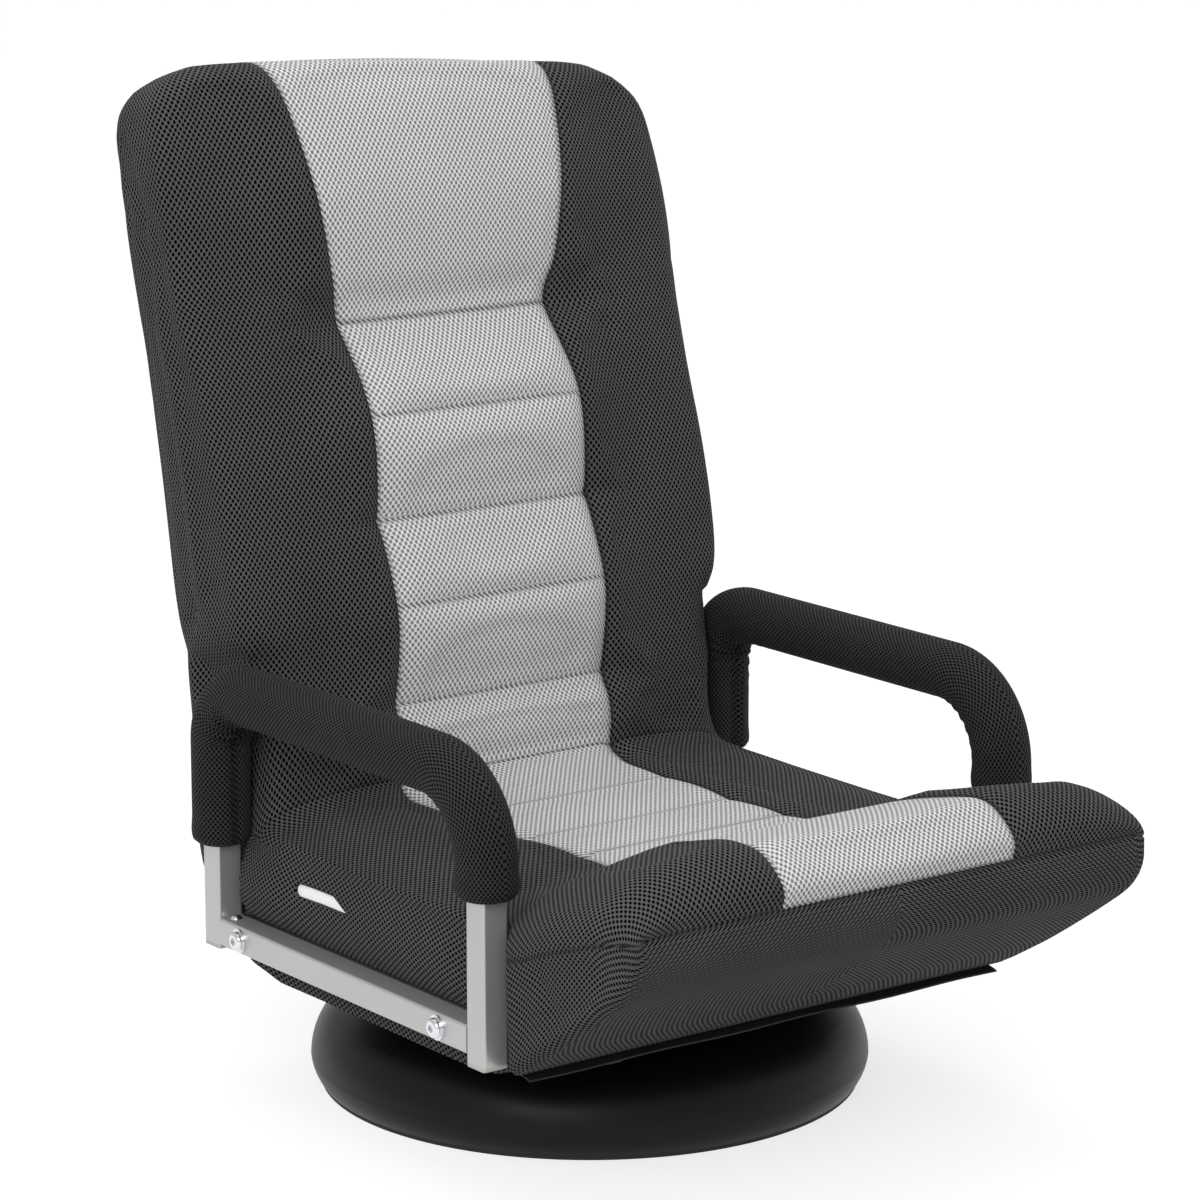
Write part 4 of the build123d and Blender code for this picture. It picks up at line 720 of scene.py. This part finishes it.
quad_row = row_id[:-1, :-1]
quad_column = np.maximum(column_id[:-1, :-1], column_id[:-1, 1:])
underside = quad_column > top_count + WALL_COLUMNS
walls = (quad_column > top_count) & ~underside
cloth_lays = ((quad_column <= top_count, cloth_uv), (walls, wall_uv), (underside, under_uv))


def sewn_panel(name, chosen, material, outside=0.0, inside=SKIN):
    """The chosen quads as a closed skin: a face at a depth below the surface, a deeper one, and a rim."""
    faces, uv = [], []
    for cloth, lay in cloth_lays:
        cut_faces = without_repeats(quads[chosen & cloth])
        if not faces_outward:
            cut_faces = [f[::-1] for f in cut_faces]
        faces += cut_faces
        uv += [lay[f] for f in cut_faces]
    ids = [weld[f] for f in faces]
    used = np.unique(np.concatenate(ids))
    place = np.full(len(stuffed), -1)
    place[used] = np.arange(len(used))
    outer = [place[i].tolist() for i in ids]
    inner = [[p + len(used) for p in f[::-1]] for f in outer]
    edges, edge_nodes = (
        np.concatenate([np.stack([f, np.roll(f, -1)], axis=1) for f in corners]) for corners in (outer, faces)
    )
    key = np.sort(edges, axis=1) @ np.array([len(used), 1])
    _, back, number = np.unique(key, return_inverse=True, return_counts=True)
    cut = number[back.ravel()] == 1
    start, end = edges[cut, 0], edges[cut, 1]
    rim = np.stack([end, start, start + len(used), end + len(used)], axis=1).tolist()
    points = np.vstack([stuffed[used] - depth * cover_normals[used] for depth in (outside, inside)])
    uv += [pair[::-1] for pair in uv]
    rim_uv = cloth_uv[edge_nodes[cut]][:, [1, 0, 0, 1]]
    corner_uv = np.vstack(uv + [rim_uv.reshape(-1, 2)])
    shade = np.tile(seam_shade[used], 2)
    return place_mesh(name, points, outer + inner + rim, corner_uv, shade, material)


on_grey = quad_column <= PANEL_COLUMNS
in_seat = quad_row < first_row["crease"]
in_lip = quad_row < first_row["valley"]
in_head = quad_row >= first_row["back_seam_1"]
slit_quads = (quad_column == top_count + slit_column) & (in_slit[:-1] & in_slit[1:])[:, None]
panels = {
    "seat_cover": (~on_grey & in_seat & ~slit_quads, mesh_black, "mesh_black",
                   ("seat_under_foam", "seat_bolster_left", "seat_bolster_right")),
    "seat_centre_panel": (on_grey & in_seat & ~in_lip, mesh_grey, "mesh_grey", ("seat_centre_pad",)),
    "seat_lip_panel": (on_grey & in_lip, mesh_grey, "mesh_grey", ("seat_lip_pad",)),
    "back_cover": (~on_grey & ~in_seat, mesh_black, "mesh_black",
                   ("back_rear_foam", "back_bolster_left", "back_bolster_right")),
    "back_centre_panel": (on_grey & ~in_seat & ~in_head, mesh_grey, "mesh_grey", ("back_centre_pad",)),
    "back_head_panel": (on_grey & in_head, mesh_grey, "mesh_grey", ("back_head_pad",)),
}
for name, (chosen, material, slot, stands_for) in panels.items():
    panel = sewn_panel(name, chosen, material)
    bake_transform(panel)
    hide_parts(*stands_for)
    print(name, len(panel.data.polygons), "faces")

# %% [markdown]
# White foam shows through the slit on either side: a strip of the same wall, a little below the cloth. It
# also glows faintly, a painted light that keeps it pale in the shade of the slit.

# %% Foam behind the slits
FOAM_DEPTH, FOAM_BACK = 3.2, 9.0
FOAM_COLUMNS, FOAM_ROWS = 2, 2
foam_white, foam_tree = new_material("foam_white")
foam_spot = add_node(foam_tree, "ShaderNodeTexCoord")
cells = add_node(foam_tree, "ShaderNodeTexVoronoi", Vector=foam_spot.outputs["Object"], Scale=1 / (1.4 * MM))
pores = cells.outputs["Distance"]
foam_bump = add_node(foam_tree, "ShaderNodeBump", Height=pores, Strength=0.4, Distance=0.3 * MM)
foam_shader = add_node(
    foam_tree,
    "ShaderNodeBsdfPrincipled",
    Base_Color=mix(foam_tree, pores, linear("#FAFAF8"), linear("#E6E6E2")),
    Roughness=0.95,
    Normal=foam_bump.outputs["Normal"],
    # painted light: a faint white glow keeps the foam pale inside the slit
    Emission_Color=linear("#FFFFFF"),
    Emission_Strength=0.25,
)
close_material(foam_tree, foam_shader)

slit_rows = np.flatnonzero(in_slit)
foam_quads = (np.abs(quad_column - top_count - slit_column) <= FOAM_COLUMNS) & (
    (quad_row >= slit_rows[0] - FOAM_ROWS) & (quad_row < slit_rows[-1] + FOAM_ROWS)
)
column_side = np.sign(np.arange(columns - 1) + 0.5 - middle)[None, :]
for side, name in ((1, "left"), (-1, "right")):
    behind = foam_quads & (column_side == side)
    foam = sewn_panel("slit_foam_" + name, behind, foam_white, FOAM_DEPTH, FOAM_BACK)
    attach(foam, "seat")
print("the slits are", round(2 * SLIT_HALF), "mm long")

# %% [markdown]
# Each arm wears a padded sleeve: a strip of black spacer mesh over foam, closed by a seam along its
# underside. That mesh has a finer pitch than the cover's and a darker colour, which is painted shade on the
# arms. It is a rounded section carried along the arm's own line of straight runs and two bends. Cloth
# bunches on the inside of a bend, so ripples are added there, and both ends turn in to the tube with a
# rolled hem. Behind, the sleeve is closed by a flap: its outer half lies over the inner one and ends in a
# step along the front of the leg.

# %% Arm sleeves
ARM_X = 222.0
ARM_FRONT_Y, ARM_REAR_Y = -187.7, 136.0
ARM_TOP_Z = 288.5
FRONT_BEND, REAR_BEND = 58.0, 38.0
SLEEVE_FRONT_Z, SLEEVE_REAR_Z = 211.0, 177.0
SLEEVE_HALF, SLEEVE_POWER = 20.2, 2.25
SLEEVE_STEP, SLEEVE_ROUND = 3.2, 48
TUBE_HALF, TUBE_POWER = 10.25, 8.0
HEM = 5.0
FLAP_RISE = 3.4
REAR_FOLDS, FRONT_FOLDS = (4.2, 11.0), (0.9, 13.0)

rear_leg = ARM_TOP_Z - REAR_BEND - SLEEVE_REAR_Z
top_bar = ARM_REAR_Y - REAR_BEND - (ARM_FRONT_Y + FRONT_BEND)
front_leg = ARM_TOP_Z - FRONT_BEND - SLEEVE_FRONT_Z
lengths = np.array([rear_leg, REAR_BEND * pi / 2, top_bar, FRONT_BEND * pi / 2, front_leg])
marks = np.concatenate([[0], np.cumsum(lengths)])
way = np.linspace(0, marks[-1], int(marks[-1] / SLEEVE_STEP))


def turn_in_bend(s, bend):
    """How far the arm's line has turned in one of its bends, at a distance s from its rear end."""
    return np.clip((s - marks[bend]) / lengths[bend], 0, 1) * pi / 2


def arm_line(s):
    """(y, z) on the sleeve's centre line at a distance s from its rear end, run by run and arc by arc."""
    rear, front = turn_in_bend(s, 1), turn_in_bend(s, 3)
    y = ARM_REAR_Y - REAR_BEND * (1 - np.cos(rear)) - np.clip(s - marks[2], 0, top_bar)
    z = SLEEVE_REAR_Z + np.clip(s, 0, rear_leg) + REAR_BEND * np.sin(rear) - FRONT_BEND * (1 - np.cos(front))
    return y - FRONT_BEND * np.sin(front), z - np.clip(s - marks[4], 0, front_leg)


line_y, line_z = arm_line(way)
turned = turn_in_bend(way, 1) + turn_in_bend(way, 3)
outward = np.stack([np.cos(turned), np.sin(turned)], axis=1)
turn = np.linspace(0, 2 * pi, SLEEVE_ROUND, endpoint=False)


def squircle(half, power):
    """Section of a rounded square: a circle whose cosine and sine are raised to a power under one."""
    return [half * np.sign(v) * np.abs(v) ** (2 / power) for v in (np.cos(turn), np.sin(turn))]


def hump(s, middle_at, width):
    """One smooth bump of height 1 along the sleeve."""
    return np.exp(-(((s - middle_at) / width) ** 2))


end_gap = np.minimum(way, marks[-1] - way)
sleeve_end = 1 - np.clip(end_gap / HEM, 0, 1)
size = 1 - 0.16 * sleeve_end**2 + 0.03 * hump(end_gap, 10, 6)
inner_side = np.clip(-np.cos(turn), 0, 1)[None, :] ** 1.5
rear_bend = column(hump(way, (marks[1] + marks[2]) / 2, 32))
front_bend = column(hump(way, (marks[3] + marks[4]) / 2, 34))
ripple = sum(
    height * column(np.sin(way * 2 * pi / apart)) * bend
    for height, apart, bend in ((*REAR_FOLDS, rear_bend), (*FRONT_FOLDS, front_bend))
)
flap_over = smooth((turn - 1.0) / 1.0) * smooth((3.02 - turn) / 0.14)
flap_along = smooth((way - 1.5) / 3) * smooth((marks[1] + 26 - way) / 16)
flap = FLAP_RISE * column(flap_along) * flap_over[None, :]
closing_seam = np.exp(-(((turn - pi) / 0.13) ** 2))[None, :]
section_out, section_x = squircle(SLEEVE_HALF, SLEEVE_POWER)
swelling = column(size) - 0.055 * closing_seam + ripple / SLEEVE_HALF * inner_side + flap / SLEEVE_HALF
tube_out, tube_x = squircle(TUBE_HALF, TUBE_POWER)
sleeve_out = np.vstack([swelling * section_out, np.tile(tube_out, (len(way), 1))])
sleeve_x = np.vstack([swelling * section_x, np.tile(tube_x, (len(way), 1))])
there_and_back = np.concatenate([np.arange(len(way)), np.arange(len(way))[::-1]])
sleeve = np.stack(
    [
        sleeve_x,
        column(line_y[there_and_back]) + sleeve_out * outward[there_and_back, :1],
        column(line_z[there_and_back]) + sleeve_out * outward[there_and_back, 1:],
    ],
    axis=2,
)
ring_count = len(there_and_back)
ring = np.arange(ring_count * SLEEVE_ROUND).reshape(ring_count, SLEEVE_ROUND)
next_ring, next_turn = np.roll(ring, -1, axis=0), np.roll(ring, -1, axis=1)
sleeve_faces = np.stack([ring, next_turn, np.roll(next_turn, -1, axis=0), next_ring], axis=2).reshape(-1, 4)
girth = np.linspace(0, 2 * pi * SLEEVE_HALF, SLEEVE_ROUND + 1) * MM
sleeve_way = way[there_and_back] * MM
corner_ring = np.repeat(np.arange(ring_count), SLEEVE_ROUND)
corner_turn = np.tile(np.arange(SLEEVE_ROUND), ring_count)
far_ring = (corner_ring + 1) % ring_count
face_corners = ((0, corner_ring), (1, corner_ring), (1, far_ring), (0, far_ring))
sleeve_uv = np.stack(
    [np.stack([girth[corner_turn + step], sleeve_way[at]], axis=1) for step, at in face_corners], axis=1
)
# painted shade: a band along the closing seam under the sleeve, where the flap ends, takes stitches over the
# dark seam colour
sleeve_shade = np.tile(np.exp(-(((turn - 3.1) / 0.15) ** 2)), ring_count)
for side, name in ((1, "left"), (-1, "right")):
    points = sleeve.reshape(-1, 3) * np.array([side, 1, 1]) + np.array([side * ARM_X, 0, 0])
    _, turned_out = point_normals(points, sleeve_faces.tolist())
    order = [0, 1, 2, 3] if turned_out else [3, 2, 1, 0]
    faces, corner_uv = sleeve_faces[:, order].tolist(), sleeve_uv[:, order].reshape(-1, 2)
    arm = place_mesh("arm_sleeve_" + name, points, faces, corner_uv, sleeve_shade, mesh_arm_painted_shade)
    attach(arm, "seat")
    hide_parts("arm_pad_" + name)
print("each sleeve is", round(marks[-1]), "mm long")

# %% [markdown]
# A zip closes the cover along the lower front edge. Its tape is a thin strip that droops a little at its
# free edge. The teeth are small moulded blocks, set left and right by turns, and a slider with a pull tab
# waits at one end.

# %% Zip under the front edge
ZIP_HALF = 203.0
ZIP_FRONT_Y, ZIP_REAR_Y = -208.0, -190.0
ZIP_TOP, ZIP_THICK, ZIP_DROOP = 91.0, 1.2, 2.6
TOOTH_PITCH, TOOTH_HALF = 3.0, (1.05, 2.2, 0.7)
SLIDER_X = -150.0
TEETH_Y, TEETH_APART = -201.0, 0.9


def blocks(centres, halves):
    """Tapered blocks: eight points round each centre, the lower four drawn in, and six faces each."""
    signs = np.array([(x, y, z) for z in (-1, 1) for x, y in ((-1, -1), (1, -1), (1, 1), (-1, 1))], float)
    signs[:4, :2] *= 0.7
    points = (np.asarray(centres)[:, None, :] + signs[None] * np.asarray(halves)[:, None, :]).reshape(-1, 3)
    faces = np.array([(3, 2, 1, 0), (4, 5, 6, 7), (0, 1, 5, 4), (1, 2, 6, 5), (2, 3, 7, 6), (3, 0, 4, 7)])
    return points, (np.arange(len(centres))[:, None, None] * 8 + faces[None]).reshape(-1, 4)


tape_run, tape_width = np.linspace(-ZIP_HALF, ZIP_HALF, 90), np.linspace(ZIP_FRONT_Y, ZIP_REAR_Y, 8)
tape_x, tape_y = np.meshgrid(tape_run, tape_width, indexing="ij")
hang = (ZIP_REAR_Y - tape_y) / (ZIP_REAR_Y - ZIP_FRONT_Y)
tape_z = ZIP_TOP - ZIP_DROOP * hang**2 + 0.5 * hang * np.sin(tape_x / 21)
tape_top = np.stack([tape_x, tape_y, tape_z], axis=2).reshape(-1, 3)
tape_points = np.vstack([tape_top, tape_top - np.array([0, 0, ZIP_THICK])])
spot_id = np.arange(tape_x.size).reshape(tape_x.shape)
sheet = grid_quads(spot_id).reshape(-1, 4)
rim_way = np.concatenate([spot_id[:-1, 0], spot_id[-1, :-1], spot_id[:0:-1, -1], spot_id[0, :0:-1]])
rim_next = np.roll(rim_way, -1)
tape_rim = np.stack([rim_next, rim_way, rim_way + tape_x.size, rim_next + tape_x.size], axis=1)
tape_faces = np.vstack([sheet, sheet[:, ::-1] + tape_x.size, tape_rim])

tooth_x = np.arange(-ZIP_HALF + 6, ZIP_HALF - 5, TOOTH_PITCH)
tooth_y = TEETH_Y + np.where(np.arange(len(tooth_x)) % 2, TEETH_APART, -TEETH_APART)
tooth_z = ZIP_TOP - ZIP_DROOP * ((ZIP_REAR_Y - tooth_y) / (ZIP_REAR_Y - ZIP_FRONT_Y)) ** 2 - ZIP_THICK - 0.5
teeth = np.stack([tooth_x, tooth_y, tooth_z], axis=1)
slider = [(SLIDER_X + ahead, TEETH_Y, tooth_z[0] - down) for ahead, down in ((0, 1.6), (8, 2.6), (19, 2.6))]
slider_halves = [(5.5, 4.2, 1.2), (4.0, 1.8, 0.8), (8.0, 3.0, 0.8)]
hard_points, hard_faces = blocks(
    np.vstack([teeth, slider]), np.vstack([np.tile(TOOTH_HALF, (len(teeth), 1)), slider_halves])
)
zip_points = np.vstack([tape_points, hard_points]) * MM
zip_faces = np.vstack([tape_faces, hard_faces + len(tape_points)])
zip_mesh = bpy.data.meshes.new("zip")
zip_mesh.from_pydata(zip_points.tolist(), [], zip_faces.tolist())
zip_mesh.materials.append(None)
zip_mesh.materials.append(None)
is_hard = np.repeat([0, 1], [len(tape_faces), len(hard_faces)]).astype(np.int32)
zip_mesh.polygons.foreach_set("material_index", is_hard)
front_zip = show("zip", zip_mesh)
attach(front_zip, "seat")
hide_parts("seat_zip")
print(len(teeth), "teeth on the zip")

# %% [markdown]
# The frame pieces keep their CAD shapes and get their finishes here. Powder-coated steel is a thin coat of
# baked paint: even in colour, satin, with a faint orange-peel texture. Zinc and chrome are bare metal, so
# their colour is in the reflection and their roughness tells them apart. Moulded plastic has a fine even
# grain.


# %% Finishes of the frame
def coat(name, colour, rough, metal, grain_mm, grain_depth, shift, specular=0.5):
    """Painted, plated or moulded surface: a fine bump at a real grain size and slow changes of roughness."""
    material, tree = new_material(name)
    spot = add_node(tree, "ShaderNodeTexCoord")
    grain_scale = 1 / (grain_mm * MM)
    grain = add_node(tree, "ShaderNodeTexNoise", Vector=spot.outputs["Object"], Detail=2.0, Scale=grain_scale)
    cloud = add_node(tree, "ShaderNodeTexNoise", Vector=spot.outputs["Object"], Scale=9.0, Detail=2.0)
    slow = cloud.outputs["Fac"]
    gloss = add_node(tree, "ShaderNodeMapRange", Value=slow, To_Min=rough - shift, To_Max=rough + shift)
    darker = tuple(0.9 * v for v in linear(colour)[:3]) + (1.0,)
    peel = {"Height": grain.outputs["Fac"], "Distance": grain_depth * MM}
    bump = add_node(tree, "ShaderNodeBump", Strength=0.25, **peel)
    shader = add_node(
        tree,
        "ShaderNodeBsdfPrincipled",
        Base_Color=mix(tree, slow, linear(colour), darker),
        Roughness=gloss.outputs["Result"],
        Normal=bump.outputs["Normal"],
        Metallic=metal,
        Specular_IOR_Level=specular,
    )
    close_material(tree, shader)
    return material


finish_of_slot = {
    "frame_silver": coat("silver_powder_coat", "#C4C4C3", 0.36, 0.6, 1.2, 0.05, 0.05),
    "base_black": coat("satin_black_powder_coat", "#0C0C0D", 0.4, 0.0, 1.4, 0.06, 0.06, 0.2),
    "frame_black": coat("black_frame_coat", "#242426", 0.5, 0.0, 1.2, 0.05, 0.05),
    "bolt_chrome": coat("chrome_plate", "#E4E5E8", 0.12, 1.0, 3.0, 0.01, 0.04),
    "bare_steel": coat("zinc_plate", "#B9BCC0", 0.34, 1.0, 1.5, 0.03, 0.08),
    "cap_grey": coat("moulded_grey_plastic", "#C4C4BF", 0.55, 0.0, 0.8, 0.04, 0.05),
    "pad_rubber": coat("moulded_rubber", "#161617", 0.75, 0.0, 0.9, 0.06, 0.05),
    "cover_cloth": coat("nonwoven_lining", "#1C1C1D", 0.92, 0.0, 1.6, 0.2, 0.03),
    "zip_black": coat("woven_zip_tape", "#19191A", 0.8, 0.0, 1.0, 0.15, 0.05),
    "mesh_black": mesh_black,
    "mesh_grey": mesh_grey,
}
zip_mesh.materials[0] = finish_of_slot["zip_black"]
zip_mesh.materials[1] = coat("moulded_zip_teeth", "#242425", 0.4, 0.0, 0.6, 0.02, 0.05)
slot_of_node = {part["node"]: part["material_slot"] for part in frame["record"]["subparts"]}
for node, solid in frame["nodes"].items():
    solid.data.materials.clear()
    solid.data.materials.append(finish_of_slot[slot_of_node[node]])
print(len(slot_of_node), "frame pieces have a finish")

# %% [markdown]
# A plain pale floor and broad soft lamps, as in a product studio. The floor is white paint, and for the
# camera alone it adds the little light that takes it to paper white, so the chair keeps its contact shadow.

# %% Floor, lamps and world
FLOOR_HALF = 30.0
FLOOR_GLOW, SKY_GLOW = 0.70, 0.66
floor_mesh = bpy.data.meshes.new("floor")
corners = np.array([(-1, -1, 0), (1, -1, 0), (1, 1, 0), (-1, 1, 0)]) * FLOOR_HALF
floor_mesh.from_pydata(corners.tolist(), [], [(0, 1, 2, 3)])
floor = show("floor", floor_mesh)
paper, paper_tree = new_material("studio_paper")
paint = add_node(paper_tree, "ShaderNodeBsdfDiffuse", Color=linear("#B4B4B4"))
rays = add_node(paper_tree, "ShaderNodeLightPath").outputs
seen = calc(paper_tree, "MAXIMUM", rays["Is Camera Ray"], rays["Is Glossy Ray"])
white = linear("#FFFFFF")
glow = add_node(
    paper_tree, "ShaderNodeEmission", Color=white, Strength=calc(paper_tree, "MULTIPLY", seen, FLOOR_GLOW)
)
both = add_node(paper_tree, "ShaderNodeAddShader", in0=paint.outputs[0], in1=glow.outputs[0])
add_node(paper_tree, "ShaderNodeOutputMaterial", Surface=both.outputs[0])
floor_mesh.materials.append(paper)

world = bpy.data.worlds.new("studio")
bpy.context.scene.world = world
world.use_nodes = True
world.node_tree.nodes.clear()
sky = add_node(world.node_tree, "ShaderNodeBackground", Color=white, Strength=SKY_GLOW)
add_node(world.node_tree, "ShaderNodeOutputWorld", Surface=sky.outputs[0])


def lamp(name, place, aim, size, power):
    """A square soft lamp at a place, turned to shine at another."""
    data = bpy.data.lights.new(name, "AREA")
    data.shape = "SQUARE"
    data.size = size
    data.energy = power
    light = show(name, data)
    light.location = place
    ray = np.array(aim) - np.array(place)
    flat = float(np.hypot(ray[0], ray[1]))
    light.rotation_euler = (float(np.arctan2(flat, -ray[2])), 0.0, float(np.arctan2(-ray[0], ray[1])))


lamp("key", (-2.4, -1.8, 1.9), (0.0, 0.0, 0.4), 1.6, 40.0)
lamp("fill", (2.4, -1.6, 1.8), (0.0, 0.0, 0.3), 2.0, 5.0)
lamp("top", (0.2, 0.6, 3.0), (0.0, 0.0, 0.3), 2.2, 16.0)

bpy.context.scene.view_settings.view_transform = "Standard"
